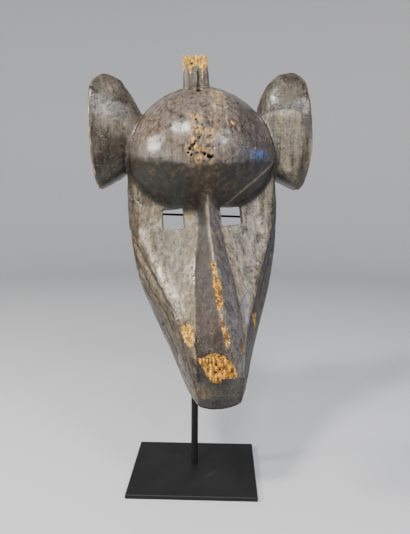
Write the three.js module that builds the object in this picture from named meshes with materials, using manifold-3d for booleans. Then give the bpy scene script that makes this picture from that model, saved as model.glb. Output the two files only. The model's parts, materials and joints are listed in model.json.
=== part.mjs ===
// A carved wooden hyena mask on its metal display stand.
// Millimetres, +Z up, the origin under the middle of the rod on the base plate's underside.
// The mask looks along -Y, turned a little towards +X.

import * as THREE from 'three';
import { mergeVertices } from 'three/addons/utils/BufferGeometryUtils.js';
import Module from 'manifold-3d';

const wasm = await Module();
wasm.setup();

// Driving dimensions of the stand
const plate = { width: 176, depth: 152, thickness: 6, rodBehindMiddle: 14.5, bevel: 0.8 };
const rod = { radius: 5, topHeight: 523.5, roundedEnd: 1.5, sides: 24 };
const bar = { radius: 1.5, halfSpan: 62, height: 369.5, offset: 9, slope: 1.9, sides: 10 };
bar.hookLength = 12;
bar.bendRadius = 5;
bar.steps = 60;
const seam = 0.3;

// Where the mask hangs: its own origin is at eye height, in the plane of its back rim
const hang = { right: 10.5, back: 9.5, height: 381, turn: 9, leanBack: 5, roll: 1.65 };

// The carving is described by sections across the mask, from the brow down to the chin.
// height is above eye level; rim is the half width at the back; edge and edgeDepth place the
// arris between side wall and face; foot and footDepth place the foot of the nose; ridge is
// how far the nose stands in front of the back rim. shift moves the back rim sideways, because
// the block isn't carved quite evenly.
const sections = [
  { height: 60, rim: 102.5, shift: 0, edge: 97, edgeDepth: 12, foot: 10, footDepth: 26, ridge: 88 },
  { height: -16, rim: 103, shift: 0, edge: 95.5, edgeDepth: 12, foot: 15, footDepth: 45, ridge: 62 },
  { height: -75, rim: 97, shift: 0, edge: 75.5, edgeDepth: 30, foot: 18.5, footDepth: 64, ridge: 87 },
  { height: -120, rim: 86, shift: 1.5, edge: 57, edgeDepth: 58, foot: 24, footDepth: 84, ridge: 107.5 },
  { height: -165, rim: 69, shift: 5, edge: 41, edgeDepth: 85, foot: 29, footDepth: 101, ridge: 122 },
  { height: -205, rim: 57, shift: 4, edge: 33, edgeDepth: 102, foot: 29, footDepth: 108, ridge: 127 },
  { height: -245, rim: 53, shift: 2, edge: 26, edgeDepth: 108, foot: 22, footDepth: 110, ridge: 112 },
];
// The nose leans to one side: how far it spreads left and right, and where its ridge runs
const noseSpread = [
  { left: 10, right: 10, ridgeX: -3 },
  { left: 12.5, right: 14.5, ridgeX: -1.5 },
  { left: 19.5, right: 23.5, ridgeX: 1 },
  { left: 23.5, right: 31, ridgeX: 2.5 },
  { left: 27, right: 33.5, ridgeX: 7 },
  { left: 26.5, right: 29, ridgeX: 7 },
  { left: 22, right: 22, ridgeX: 3 },
];
sections.forEach((section, i) => Object.assign(section, noseSpread[i]));
const crown = { height: 60, radius: 102.5, bandDepth: 10 };
const face = { wallBulge: 1.6, hollowing: 1.3, noseRoundness: 1.7 };
const snout = { stepHeight: -212, step: 4, lipHeight: -241, lipSlope: 0.6, bottom: -262 };
const keel = { rimBottom: -205, drop: 51, chinDepth: 108, sweep: 1.9, roundBack: 50, roundFront: 16 };
// The block over the underside, wide enough to hold the whole carving
Object.assign(keel, { top: 230, halfSpan: 120, shoulder: 60, from: -15, stride: 14, strides: 13 });
keel.liftInset = 0.8;

const dome = { height: 60, radius: 100, depth: 95, under: 73, underPower: 1.7 };
const hollow = { rimWall: 11, frontWall: 13, keelWall: 13, deepest: 92, domeWall: 12, reachBack: 6 };
Object.assign(hollow, { innerShare: 0.6, shallowest: 0.5, aboveCrown: 20 });
const eyes = [
  { x: -45.5, height: -16.3, width: 29, tall: 26, roll: 1 },
  { x: 34, height: -14.2, width: 32, tall: 24, roll: 3 },
];
const eyeCutLength = 160;
// An ear's own height runs from -1 at its lower end to 1 at its top; reachIn is how far it comes
// in towards the head at each of the heights in earHeights
const earHeights = [-1, -0.9, -0.8, -0.65, -0.45, -0.2, 0, 0.2, 0.42, 0.62, 0.8, 0.92, 1];
const ears = [
  { side: -1, x: 143.5, height: 106, tall: 78.5, lean: 4.5, bulge: 5 },
  { side: 1, x: 144.5, height: 102, tall: 82, lean: 5.5, bulge: 4.5 },
];
ears[0].reachIn = [6, 18, 31, 48, 61, 69, 72.5, 71, 65, 54.5, 42, 29, 12];
ears[1].reachIn = [9, 27, 42, 56, 67, 72, 72.5, 71, 67, 59, 47, 34, 14];
const ear = { back: 12, reach: 33, turn: 5, wall: 8, cupDepth: 34, upperPower: 2.2, lowerPower: 2.9 };
Object.assign(ear, { powerBlend: 50, leastShare: 0.02, cupSkirt: 3 });
const crest = { left: -25, right: 12, foot: 140, topLeft: -23, topRight: 7, top: 198.5, back: 8, front: 33 };
Object.assign(crest, { middleDrop: 2, leftDrop: 0.5 });

// How finely the curved forms are divided
const divide = {
  wallShares: [0, 0.3, 0.6, 0.85],
  faceShares: [1, 0.82, 0.6, 0.36, 0.15],
  noseShares: [1, 0.8, 0.55, 0.28],
  hollowShares: [1, 0.86, 0.66, 0.44, 0.22, 0],
  keelShares: [-1, -0.995, -0.96, -0.88, -0.74, -0.55, -0.3, 0, 0.3, 0.55, 0.74, 0.88, 0.96, 0.995, 1],
  dome: { around: 44, steps: 12 },
  domeInside: { around: 28, steps: 7 },
  ear: { around: 32, steps: 9 },
  earCup: { around: 26, steps: 6 },
  block: { crownSteps: 8, stride: 12 },
  hollow: { crownSteps: 2, stride: 18 },
  stepWidth: 1,
  crownGap: 0.2,
};
const search = { far: 400, passes: 40 };
const materials = {
  wood: { color: 0x6b6155, roughness: 0.5, metalness: 0 },
  paintedSteel: { color: 0x2b2b2c, roughness: 0.55, metalness: 0.3 },
};

const clamp = THREE.MathUtils.clamp;
const radians = THREE.MathUtils.degToRad;

// Closed solids from rings of points

function geometryFrom(points, triangles) {
  const geometry = new THREE.BufferGeometry();
  geometry.setAttribute('position', new THREE.Float32BufferAttribute(points.flatMap((p) => p.toArray()), 3));
  geometry.setIndex(triangles.flat());
  return geometry;
}

// Rings with equal counts are skinned together, and each end closes on a middle point
function skin(rings, startPoint, endPoint) {
  const count = rings[0].length;
  const points = [startPoint, ...rings.flat(), endPoint];
  const last = points.length - 1;
  const triangles = [];
  for (let i = 0; i < count; i += 1) {
    const next = (i + 1) % count;
    triangles.push([0, 1 + next, 1 + i]);
    for (let ring = 0; ring < rings.length - 1; ring += 1) {
      const a = 1 + ring * count;
      const b = a + count;
      triangles.push([a + i, a + next, b + next], [a + i, b + next, b + i]);
    }
    const end = 1 + (rings.length - 1) * count;
    triangles.push([end + i, end + next, last]);
  }
  return solidFrom(geometryFrom(points, triangles));
}

function signedVolume(positions, indices) {
  const [a, b, c] = [new THREE.Vector3(), new THREE.Vector3(), new THREE.Vector3()];
  let volume = 0;
  for (let i = 0; i < indices.length; i += 3) {
    a.fromArray(positions, indices[i] * 3);
    b.fromArray(positions, indices[i + 1] * 3);
    c.fromArray(positions, indices[i + 2] * 3);
    volume += a.dot(b.cross(c)) / 6;
  }
  return volume;
}

// A closed geometry becomes a solid with its faces pointing out
function solidFrom(geometry) {
  const plain = geometry.clone();
  plain.deleteAttribute('normal');
  plain.deleteAttribute('uv');
  const merged = mergeVertices(plain, 1e-4);
  const vertProperties = Float32Array.from(merged.attributes.position.array);
  const triVerts = Uint32Array.from(merged.index.array);
  if (signedVolume(vertProperties, triVerts) < 0) {
    for (let i = 0; i < triVerts.length; i += 3) {
      [triVerts[i + 1], triVerts[i + 2]] = [triVerts[i + 2], triVerts[i + 1]];
    }
  }
  return new wasm.Manifold(new wasm.Mesh({ numProp: 3, vertProperties, triVerts }));
}

function geometryOf(solid) {
  const mesh = solid.getMesh();
  const geometry = new THREE.BufferGeometry();
  geometry.setAttribute('position', new THREE.BufferAttribute(Float32Array.from(mesh.vertProperties), 3));
  geometry.setIndex(new THREE.BufferAttribute(Uint32Array.from(mesh.triVerts), 1));
  return geometry;
}

// A point of the carving: x to its own left or right, depth in front of the back rim, height
function carved(x, depth, height) {
  return new THREE.Vector3(x, -depth, height);
}

// Sizes of the face between the sections

// A smooth curve through the sections' values, level beyond the first and the last
function sizeAt(height, name) {
  const z = clamp(height, sections.at(-1).height, sections[0].height);
  const k = clamp(sections.findIndex((s) => s.height <= z) - 1, 0, sections.length - 2);
  const slopeAt = (i) => {
    const before = sections[Math.max(i - 1, 0)];
    const after = sections[Math.min(i + 1, sections.length - 1)];
    return (after[name] - before[name]) / (after.height - before.height);
  };
  const [upper, lower] = [sections[k], sections[k + 1]];
  const run = lower.height - upper.height;
  const t = (z - upper.height) / run;
  const eased = t * t * (3 - 2 * t);
  const leaveUpper = t * (1 - t) * (1 - t) * run * slopeAt(k);
  const reachLower = t * t * (1 - t) * run * slopeAt(k + 1);
  return upper[name] + (lower[name] - upper[name]) * eased + leaveUpper - reachLower;
}

function sectionAt(height) {
  const size = { height };
  for (const name of Object.keys(sections[0]).filter((key) => key !== 'height')) {
    size[name] = sizeAt(height, name);
  }
  if (height > crown.height) {
    const rise = height - crown.height;
    const share = Math.sqrt(Math.max(1 - (rise / crown.radius) ** 2, 0));
    size.rim = crown.radius * share;
    for (const name of ['edge', 'foot', 'left', 'right', 'ridgeX']) {
      size[name] *= share;
    }
    size.edgeDepth = crown.bandDepth;
    size.footDepth = crown.bandDepth + (size.footDepth - crown.bandDepth) * share;
    size.ridge = crown.bandDepth + (size.ridge - crown.bandDepth) * share * share;
  }
  return size;
}

// The face without its nose: two hollowed planes that slope back to the arrises
function planeDepth(x, size) {
  const across = clamp((Math.abs(x) - size.foot) / (size.edge - size.foot), 0, 1);
  return size.edgeDepth + (size.footDepth - size.edgeDepth) * (1 - across) ** face.hollowing;
}

function noseDepth(x, size) {
  const spread = x < size.ridgeX ? size.left + size.ridgeX : size.right - size.ridgeX;
  const across = clamp(Math.abs(x - size.ridgeX) / spread, 0, 1);
  return (size.ridge - size.footDepth) * (1 - across ** face.noseRoundness);
}

// The worn end of the nose steps back above the lips, and the lips slope back to the chin
function faceDepth(x, size) {
  const below = size.height < snout.stepHeight ? snout.step : 0;
  const depth = planeDepth(x, size) + noseDepth(x, size) - below;
  const lip = sections.at(-1).edgeDepth - snout.lipSlope * Math.max(snout.lipHeight - size.height, 0);
  return size.height < snout.lipHeight ? Math.min(depth, lip) : depth;
}

// Half width of the side wall and its sideways shift, at a depth in front of the back rim
function wallAt(depth, size) {
  const share = clamp(depth / size.edgeDepth, 0, 1) ** face.wallBulge;
  return { halfWidth: size.rim - (size.rim - size.edge) * share, shift: size.shift * (1 - share) };
}

// One section as a closed loop, from the rim round over the face and back to the other rim
function sectionLoop(size) {
  const halfLoop = (side) => {
    const points = divide.wallShares.map((share) => {
      const depth = size.edgeDepth * share;
      const wall = wallAt(depth, size);
      return [side * wall.halfWidth + wall.shift, Math.min(depth, faceDepth(size.edge, size))];
    });
    const noseFoot = side * (side < 0 ? size.left : size.right);
    for (const share of divide.faceShares) {
      const x = noseFoot + (side * size.edge - noseFoot) * share;
      points.push([x, faceDepth(x, size)]);
    }
    for (const share of divide.noseShares) {
      const x = size.ridgeX + (noseFoot - size.ridgeX) * share;
      points.push([x, faceDepth(x, size)]);
    }
    return points.map(([x, depth]) => carved(x, depth, size.height));
  };
  const ridge = carved(size.ridgeX, faceDepth(size.ridgeX, size), size.height);
  return [...halfLoop(1), ridge, ...halfLoop(-1).reverse()];
}

function sectionHeights(top, bottom, { crownSteps, stride }) {
  const heights = [];
  const reach = top - crown.height;
  for (let i = 0; i < crownSteps; i += 1) {
    heights.push(crown.height + reach * Math.cos((i / crownSteps) * Math.PI / 2));
  }
  const count = Math.round((crown.height - bottom) / stride);
  for (let i = 0; i <= count; i += 1) {
    heights.push(crown.height - (i / count) * (crown.height - bottom));
  }
  for (const edge of [snout.stepHeight, snout.stepHeight + divide.stepWidth, snout.lipHeight]) {
    if (edge > bottom) {
      heights.push(edge);
    }
  }
  return [...new Set(heights)].sort((a, b) => b - a);
}

// Everything above the boat-shaped underside, as a block over a grid of x and depth
function aboveKeel(lift) {
  const { top, halfSpan: span } = keel;
  const depths = Array.from({ length: keel.strides }, (_, i) => keel.from + i * keel.stride);
  const rings = depths.map((depth) => {
    const along = clamp(depth / keel.chinDepth, 0, 1);
    const bottom = keel.rimBottom - keel.drop * (1 - (1 - along) ** keel.sweep) + lift;
    const round = keel.roundBack + (keel.roundFront - keel.roundBack) * along;
    const wall = wallAt(Math.max(depth, 0), sectionAt(bottom + round));
    const width = wall.halfWidth - lift * keel.liftInset;
    const under = divide.keelShares.map((share) => {
      const rise = round * (1 - Math.sqrt(1 - share * share));
      return carved(width * share + wall.shift, depth, bottom + rise);
    });
    const shoulder = bottom + round + keel.shoulder;
    return [...under, carved(span, depth, shoulder), carved(span, depth, top),
      carved(-span, depth, top), carved(-span, depth, shoulder)];
  });
  const middle = (depth) => carved(0, depth, 0);
  return skin(rings, middle(depths[0]), middle(depths.at(-1)));
}

// A rounded half egg on its flat side: a dome, or the outside or inside of an ear.
// share(x, y) is 0 in the middle and 1 on the outline; the skirt carries it back past its rim.
function halfEgg(share, depth, skirt, { around, steps }) {
  const outline = Array.from({ length: around }, (_, i) => {
    const angle = (i / around) * Math.PI * 2;
    let [near, far] = [0, search.far];
    for (let pass = 0; pass < search.passes; pass += 1) {
      const middle = (near + far) / 2;
      const inside = share(middle * Math.cos(angle), middle * Math.sin(angle)) < 1;
      [near, far] = inside ? [middle, far] : [near, middle];
    }
    return [near * Math.cos(angle), near * Math.sin(angle)];
  });
  const rings = [outline.map(([x, y]) => new THREE.Vector3(x, y, -skirt))];
  for (let i = 0; i < steps; i += 1) {
    const shrink = Math.cos((i / steps) * Math.PI / 2);
    rings.push(outline.map(([x, y]) => {
      const rise = depth * Math.sqrt(Math.max(1 - share(x * shrink, y * shrink), 0));
      return new THREE.Vector3(x * shrink, y * shrink, i === 0 ? 0 : rise);
    }));
  }
  return skin(rings, new THREE.Vector3(0, 0, -skirt), new THREE.Vector3(0, 0, depth));
}

function moved(solid, matrix) {
  return solidFrom(geometryOf(solid).applyMatrix4(matrix));
}

// The forehead: round above the brow, drawn in more quickly underneath it
function domeSolid(wall, skirt, fineness) {
  const radius = dome.radius - wall;
  const under = dome.under - wall;
  const share = (x, y) => {
    const rise = y >= 0 ? (y / radius) ** 2 : (-y / under) ** dome.underPower;
    return (x / radius) ** 2 + rise;
  };
  const forward = new THREE.Matrix4().makeRotationX(Math.PI / 2);
  forward.setPosition(0, 0, dome.height);
  return moved(halfEgg(share, dome.depth - wall, skirt, fineness), forward);
}

// How far an ear comes in towards the head at one of its own heights
function reachAt(size, up) {
  const next = clamp(earHeights.findIndex((height) => height > up), 1, earHeights.length - 1);
  const [low, high] = [earHeights[next - 1], earHeights[next]];
  const share = clamp((up - low) / (high - low), 0, 1);
  return size.reachIn[next - 1] + (size.reachIn[next] - size.reachIn[next - 1]) * share;
}

// An ear is a deep cup that opens outwards. Wall 0 gives its outside, which comes in as far as its
// reaches say, and any other wall gives the cup inside it.
function earSolid(size, wall, skirt, fineness) {
  const tall = size.tall - wall;
  const powerAt = (y) => {
    const high = clamp(0.5 + y / ear.powerBlend, 0, 1);
    return ear.lowerPower + (ear.upperPower - ear.lowerPower) * high;
  };
  const share = (x, y) => {
    const power = powerAt(y);
    return (Math.abs(x) / (ear.reach - wall)) ** power + (Math.abs(y) / tall) ** power;
  };
  const depthAt = (y) => {
    if (wall > 0) {
      return ear.cupDepth;
    }
    return reachAt(size, y / tall) / Math.sqrt(Math.max(1 - share(0, y), ear.leastShare));
  };
  const turn = radians(ear.turn);
  const lean = radians(size.lean);
  const inward = new THREE.Vector3(-size.side * Math.cos(turn), -Math.sin(turn), 0);
  const up = new THREE.Vector3(-size.side * Math.sin(lean), 0, Math.cos(lean));
  const along = up.clone().cross(inward).normalize();
  const upright = inward.clone().cross(along).normalize();
  const placed = new THREE.Matrix4().makeBasis(along, upright, inward);
  placed.setPosition(size.side * size.x, ear.back, size.height);
  const cup = geometryOf(halfEgg(share, 1, skirt, fineness));
  const places = cup.attributes.position;
  for (let i = 0; i < places.count; i += 1) {
    const [y, z] = [places.getY(i), places.getZ(i)];
    const outwards = size.bulge * (1 - (y / size.tall) ** 2);
    places.setZ(i, (z > 0 ? z * depthAt(y) : z) - outwards);
  }
  return solidFrom(cup.applyMatrix4(placed));
}

// The stump of the crest on top of the head, broken off unevenly
function crestSolid() {
  const outline = new THREE.Shape([
    new THREE.Vector2(crest.left, crest.foot),
    new THREE.Vector2(crest.right, crest.foot),
    new THREE.Vector2(crest.topRight, crest.top),
    new THREE.Vector2((crest.topLeft + crest.topRight) / 2, crest.top - crest.middleDrop),
    new THREE.Vector2(crest.topLeft, crest.top - crest.leftDrop),
  ]);
  const stump = new THREE.ExtrudeGeometry(outline, { depth: crest.front - crest.back, bevelEnabled: false });
  stump.rotateX(Math.PI / 2);
  stump.translate(0, -crest.back, 0);
  return solidFrom(stump);
}

function eyeCutter(eye) {
  const hole = new THREE.BoxGeometry(eye.width, eyeCutLength, eye.tall);
  hole.rotateY(-radians(eye.roll));
  hole.translate(eye.x, 0, eye.height);
  return solidFrom(hole);
}

// The mask, carved from one block

function maskBlock() {
  const top = crown.height + crown.radius - divide.crownGap;
  const heights = sectionHeights(top, snout.bottom, divide.block);
  const rings = heights.map((height) => sectionLoop(sectionAt(height)));
  const topPoint = carved(0, crown.bandDepth / 2, top + divide.crownGap);
  const block = skin(rings, topPoint, carved(0, keel.roundBack, snout.bottom));
  return block.intersect(aboveKeel(0));
}

// The hollow follows the outside at a wall's thickness, and leaves the snout solid
function maskHollow() {
  const top = crown.height + hollow.aboveCrown;
  const rings = sectionHeights(top, snout.bottom, divide.hollow).map((height) => {
    const size = sectionAt(height);
    const depthAt = (x) => {
      const thin = Math.min(planeDepth(x, size) - hollow.frontWall, hollow.deepest);
      return Math.max(thin, hollow.shallowest);
    };
    const widest = size.rim - hollow.rimWall;
    const inner = Math.min(size.edge - hollow.rimWall * hollow.innerShare, widest);
    const halfLoop = (side) => {
      const rim = side * widest + size.shift;
      const points = [[rim, -hollow.reachBack], [rim, 0]];
      for (const share of divide.hollowShares) {
        points.push([side * inner * share, depthAt(inner * share)]);
      }
      return points.map(([x, depth]) => carved(x, depth, height));
    };
    return [...halfLoop(1), ...halfLoop(-1).slice(0, -1).reverse()];
  });
  const gap = divide.crownGap;
  const trough = skin(rings, carved(0, gap, top + gap), carved(0, hollow.frontWall, snout.bottom - gap));
  const inside = trough.intersect(aboveKeel(hollow.keelWall));
  return inside.add(domeSolid(hollow.domeWall, hollow.reachBack, divide.domeInside));
}

function maskSolid() {
  let mask = maskBlock().add(domeSolid(0, 0, divide.dome));
  for (const size of ears) {
    mask = mask.add(earSolid(size, 0, 0, divide.ear));
  }
  mask = mask.add(crestSolid()).subtract(maskHollow());
  for (const size of ears) {
    mask = mask.subtract(earSolid(size, ear.wall, ear.cupSkirt, divide.earCup));
  }
  for (const eye of eyes) {
    mask = mask.subtract(eyeCutter(eye));
  }
  return mask;
}

function makeMask() {
  const wood = new THREE.MeshStandardMaterial(materials.wood);
  const mask = new THREE.Mesh(geometryOf(maskSolid()), wood);
  mask.name = 'mask';
  mask.position.set(hang.right, hang.back, hang.height);
  mask.rotation.set(-radians(hang.leanBack), -radians(hang.roll), radians(hang.turn), 'ZXY');
  return mask;
}

// The stand

function makeBasePlate() {
  const { width, depth, thickness, bevel } = plate;
  const outline = new THREE.Shape([
    new THREE.Vector2(-width / 2 + bevel, -depth / 2 + bevel),
    new THREE.Vector2(width / 2 - bevel, -depth / 2 + bevel),
    new THREE.Vector2(width / 2 - bevel, depth / 2 - bevel),
    new THREE.Vector2(-width / 2 + bevel, depth / 2 - bevel),
  ]);
  const chamfer = { bevelThickness: bevel, bevelSize: bevel, bevelSegments: 1 };
  const slab = new THREE.ExtrudeGeometry(outline, { depth: thickness - 2 * bevel, ...chamfer });
  const mesh = new THREE.Mesh(slab, new THREE.MeshStandardMaterial(materials.paintedSteel));
  mesh.name = 'base_plate';
  mesh.position.set(0, -plate.rodBehindMiddle, bevel);
  return mesh;
}

function makeUprightRod() {
  const foot = plate.thickness + seam;
  const { radius, roundedEnd, topHeight } = rod;
  const profile = [
    new THREE.Vector2(0, foot),
    new THREE.Vector2(radius, foot),
    new THREE.Vector2(radius, topHeight - roundedEnd),
    new THREE.Vector2(radius - roundedEnd, topHeight),
    new THREE.Vector2(0, topHeight),
  ];
  const upright = new THREE.LatheGeometry(profile, rod.sides);
  const mesh = new THREE.Mesh(upright, new THREE.MeshStandardMaterial(materials.paintedSteel));
  mesh.name = 'upright_rod';
  mesh.rotation.x = Math.PI / 2;
  return mesh;
}

// A thin crossbar behind the rod, in line with the mask, its ends bent up inside the hollow
function makeCrossbar() {
  const { halfSpan, hookLength, bendRadius } = bar;
  const route = new THREE.CurvePath();
  const point = (x, z) => new THREE.Vector3(x, 0, z);
  const bend = halfSpan - bendRadius;
  const straight = (from, to) => route.add(new THREE.LineCurve3(from, to));
  const curved = (from, corner, to) => route.add(new THREE.QuadraticBezierCurve3(from, corner, to));
  straight(point(-halfSpan, hookLength), point(-halfSpan, bendRadius));
  curved(point(-halfSpan, bendRadius), point(-halfSpan, 0), point(-bend, 0));
  straight(point(-bend, 0), point(bend, 0));
  curved(point(bend, 0), point(halfSpan, 0), point(halfSpan, bendRadius));
  straight(point(halfSpan, bendRadius), point(halfSpan, hookLength));
  const corners = Array.from({ length: bar.sides }, (_, i) => {
    const angle = (i / bar.sides) * Math.PI * 2;
    return new THREE.Vector2(bar.radius * Math.cos(angle), bar.radius * Math.sin(angle));
  });
  const wire = new THREE.ExtrudeGeometry(new THREE.Shape(corners), { steps: bar.steps, extrudePath: route });
  const mesh = new THREE.Mesh(wire, new THREE.MeshStandardMaterial(materials.paintedSteel));
  mesh.name = 'crossbar';
  const turn = radians(hang.turn);
  const behind = rod.radius + bar.radius + seam;
  mesh.rotation.set(0, radians(bar.slope), turn, 'ZXY');
  mesh.position.set(
    bar.offset * Math.cos(turn) - behind * Math.sin(turn),
    bar.offset * Math.sin(turn) + behind * Math.cos(turn),
    bar.height,
  );
  return mesh;
}

const hyenaMask = new THREE.Group();
hyenaMask.add(makeMask(), makeBasePlate(), makeUprightRod(), makeCrossbar());

export default hyenaMask;
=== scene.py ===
import json
import math
import bmesh
import bpy
import numpy as np
from mathutils import Matrix, Vector

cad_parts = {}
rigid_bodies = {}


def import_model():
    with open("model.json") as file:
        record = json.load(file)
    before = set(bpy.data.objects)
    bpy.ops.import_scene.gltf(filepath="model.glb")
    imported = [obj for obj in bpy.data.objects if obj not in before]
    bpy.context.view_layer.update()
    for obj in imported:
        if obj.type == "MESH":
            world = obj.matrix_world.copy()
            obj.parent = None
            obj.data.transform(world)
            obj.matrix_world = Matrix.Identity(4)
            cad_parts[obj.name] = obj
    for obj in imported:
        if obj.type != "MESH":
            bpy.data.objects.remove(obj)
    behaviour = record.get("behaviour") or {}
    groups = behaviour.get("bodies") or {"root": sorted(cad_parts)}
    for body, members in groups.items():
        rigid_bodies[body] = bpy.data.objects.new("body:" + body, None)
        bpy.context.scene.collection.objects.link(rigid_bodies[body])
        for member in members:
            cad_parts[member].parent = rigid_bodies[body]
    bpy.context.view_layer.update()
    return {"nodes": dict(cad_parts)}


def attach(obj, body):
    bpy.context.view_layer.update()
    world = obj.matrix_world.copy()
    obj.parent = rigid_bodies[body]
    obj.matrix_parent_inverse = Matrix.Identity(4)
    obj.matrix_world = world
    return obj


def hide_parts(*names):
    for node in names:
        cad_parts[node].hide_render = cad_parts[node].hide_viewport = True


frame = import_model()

# A carved hyena mask on its display stand. The scene is in metres, the carving in millimetres:
# x to the right as seen, p the depth forward from its back rim, z the height above its eyes.
mm = 0.001
scene = bpy.context.scene
print("frame loaded:", sorted(frame["nodes"]))


# camera at the photograph's angle

view = {"lens": 37.75, "sensor": 36, "place": (36.73, -771.04, 422.98), "heading": 1.72, "down": 9.18, "roll": 0.39}


def makeCamera():
    heading, down, roll = (math.radians(view[key]) for key in ("heading", "down", "roll"))
    ahead = Vector((-math.sin(heading) * math.cos(down), math.cos(heading) * math.cos(down), -math.sin(down)))
    right = Vector((math.cos(heading), math.sin(heading), 0))
    up = right.cross(ahead)
    rightRolled = right * math.cos(roll) + up * math.sin(roll)
    upRolled = up * math.cos(roll) - right * math.sin(roll)
    data = bpy.data.cameras.new("viewCamera")
    data.lens = view["lens"]
    data.sensor_width = view["sensor"]
    camera = bpy.data.objects.new("viewCamera", data)
    turn = Matrix((rightRolled, upRolled, -ahead)).transposed().to_4x4()
    camera.matrix_world = Matrix.Translation(Vector(view["place"]) * mm) @ turn
    scene.collection.objects.link(camera)
    scene.camera = camera


makeCamera()


# the mask's carving, the same sizes as its solid

hang = {"right": 10.5, "back": 9.5, "height": 381.0, "turn": 9.0, "leanBack": 5.0, "roll": 1.65}
sections = {
    "height": [60, -16, -75, -120, -165, -205, -245],
    "rim": [103, 103.5, 97, 86, 70.5, 57.5, 53],
    "shift": [-0.5, -0.5, 0, 1.5, 3.5, 3.5, 2],
    "edge": [97, 95.5, 75.5, 57, 41, 33, 26],
    "edgeDepth": [12, 12, 30, 58, 85, 102, 108],
    "foot": [10, 15, 18.5, 24, 29, 29, 22],
    "footDepth": [26, 45, 64, 84, 101, 108, 110],
    "ridge": [88, 62, 87, 107.5, 122, 127, 112],
}
carving = {
    "gridStep": 1.3, "low": (-166.0, -50.0, -266.0), "high": (166.0, 134.0, 203.0), "keptQuads": 92000,
    "crownHeight": 60, "crownRadius": 102.5, "bandDepth": 10, "wallBulge": 1.6, "hollowing": 1.3,
    "lipHeight": -237, "lipSlope": 0.75, "lipDepth": 108,
}
keel = {"rimBottom": -205, "drop": 55, "chinDepth": 108, "sweep": 1.9, "roundBack": 50, "roundFront": 16,
        "flareWidth": 120, "flareRun": 60}
dome = {"height": 60, "radius": 100, "depth": 95, "bottom": -13, "browMiddle": 49, "browRise": 13,
        "browCentre": -5, "browSpan": 90, "browCurve": 1.6, "browHighest": 64, "underPower": 1.18,
        "sidePower": 1.7, "cutSlope": 1.5}
hollow = {"rimWall": 11, "frontWall": 13, "keelWall": 13, "deepest": 92, "radius": 88, "depth": 83,
          "under": 61, "top": 80}
eyes = [
    {"x": -45.5, "height": -16.3, "width": 29, "tall": 26, "roll": 1, "above": 4.5, "fromLeft": 3, "fromRight": 0},
    {"x": 34, "height": -14.2, "width": 32, "tall": 23.5, "roll": 3, "above": 2.5, "fromLeft": 0, "fromRight": 2},
]
ears = [
    {"side": -1, "x": 143.5, "height": 106.5, "tall": 78, "lean": 4.5, "bulge": 5, "chamfer": 2.2,
     "topRound": 17, "lowSlant": 2,
     "up": [-1, -0.915, -0.83, -0.77, -0.5, -0.2, 0, 0.224, 0.42, 0.64, 0.865, 0.95, 1],
     "reachIn": [6, 20, 33, 40, 61.5, 71, 72.5, 71, 63.5, 52.5, 38, 27, 12]},
    {"side": 1, "x": 146, "height": 102.5, "tall": 82.5, "lean": 5.5, "bulge": 4, "chamfer": 4,
     "topRound": 13, "lowSlant": 7,
     "up": [-1, -0.893, -0.83, -0.7, -0.5, -0.2, 0, 0.2, 0.42, 0.6, 0.8, 0.9, 0.96, 1],
     "reachIn": [10, 29, 41, 56, 68, 74, 74, 71.5, 67.5, 61, 49.5, 40, 31, 14]},
]
earShape = {"back": 12, "reach": 33, "turn": 5, "wall": 8, "cupDepth": 34, "upperPower": 2.2, "lowerPower": 2.9}
crest = {"left": -25, "right": 12, "foot": 140, "topLeft": -23, "topRight": 7, "top": 199,
         "back": 8, "front": 33, "flutes": 1.6, "splinters": 5.5, "snappedStep": 2.5}
# adze scoops of each part: how deep, how long and wide, and the seed of their pattern
adze = {
    "face": (0.75, (9, 26), 11), "faceWide": (0.5, (17, 15), 12), "leftWall": (0.5, (22, 9), 21),
    "rightWall": (0.5, (22, 9), 31), "ears": (0.7, (19, 11), 41), "earCups": (1.0, (15, 9), 51),
    "hollow": (1.3, (15, 21), 71), "forehead": (0.9, (15, 20), 83),
}
# the whole skin's unevenness: how strong, how long each way, and the seed
unevenness = [(0.9, (26, 26, 34), 81), (0.45, (8, 8, 13), 82)]
patternSize = {"lumps": 32, "scoops": 64}  # cells before a pattern repeats


def clampUnit(value):
    return np.clip(value, 0, 1)


# 0 at one value, 1 at the other, straight in between and level beyond
def ramp(value, zero, one):
    return clampUnit((value - zero) / (one - zero))


# 1 on a line or spot, fading to nothing beyond its reach
def near(distance, reach):
    return np.exp(-(distance / reach) ** 2)


# how high a line of points runs at any x
def heightOn(line, x):
    line = sorted(line)
    return np.interp(x, [at[0] for at in line], [at[1] for at in line])


def softMin(a, b, reach):
    share = clampUnit(0.5 + 0.5 * (b - a) / reach)
    return b + (a - b) * share - reach * share * (1 - share)


def softMax(a, b, reach):
    return -softMin(-a, -b, reach)


# a smooth curve through the sections' values, level beyond the first and the last
def sizeAt(height, name):
    heights, values = np.array(sections["height"], float), np.array(sections[name], float)
    slopes = np.gradient(values) / np.gradient(heights)
    z = np.clip(height, heights[-1], heights[0])
    k = np.clip(np.searchsorted(-heights, -z, side="right") - 1, 0, len(values) - 2)
    run = heights[k + 1] - heights[k]
    t = (z - heights[k]) / run
    eased = t * t * (3 - 2 * t)
    leave = t * (1 - t) ** 2 * run * slopes[k]
    reach = t * t * (1 - t) * run * slopes[k + 1]
    return values[k] + (values[k + 1] - values[k]) * eased + leave - reach


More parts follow.
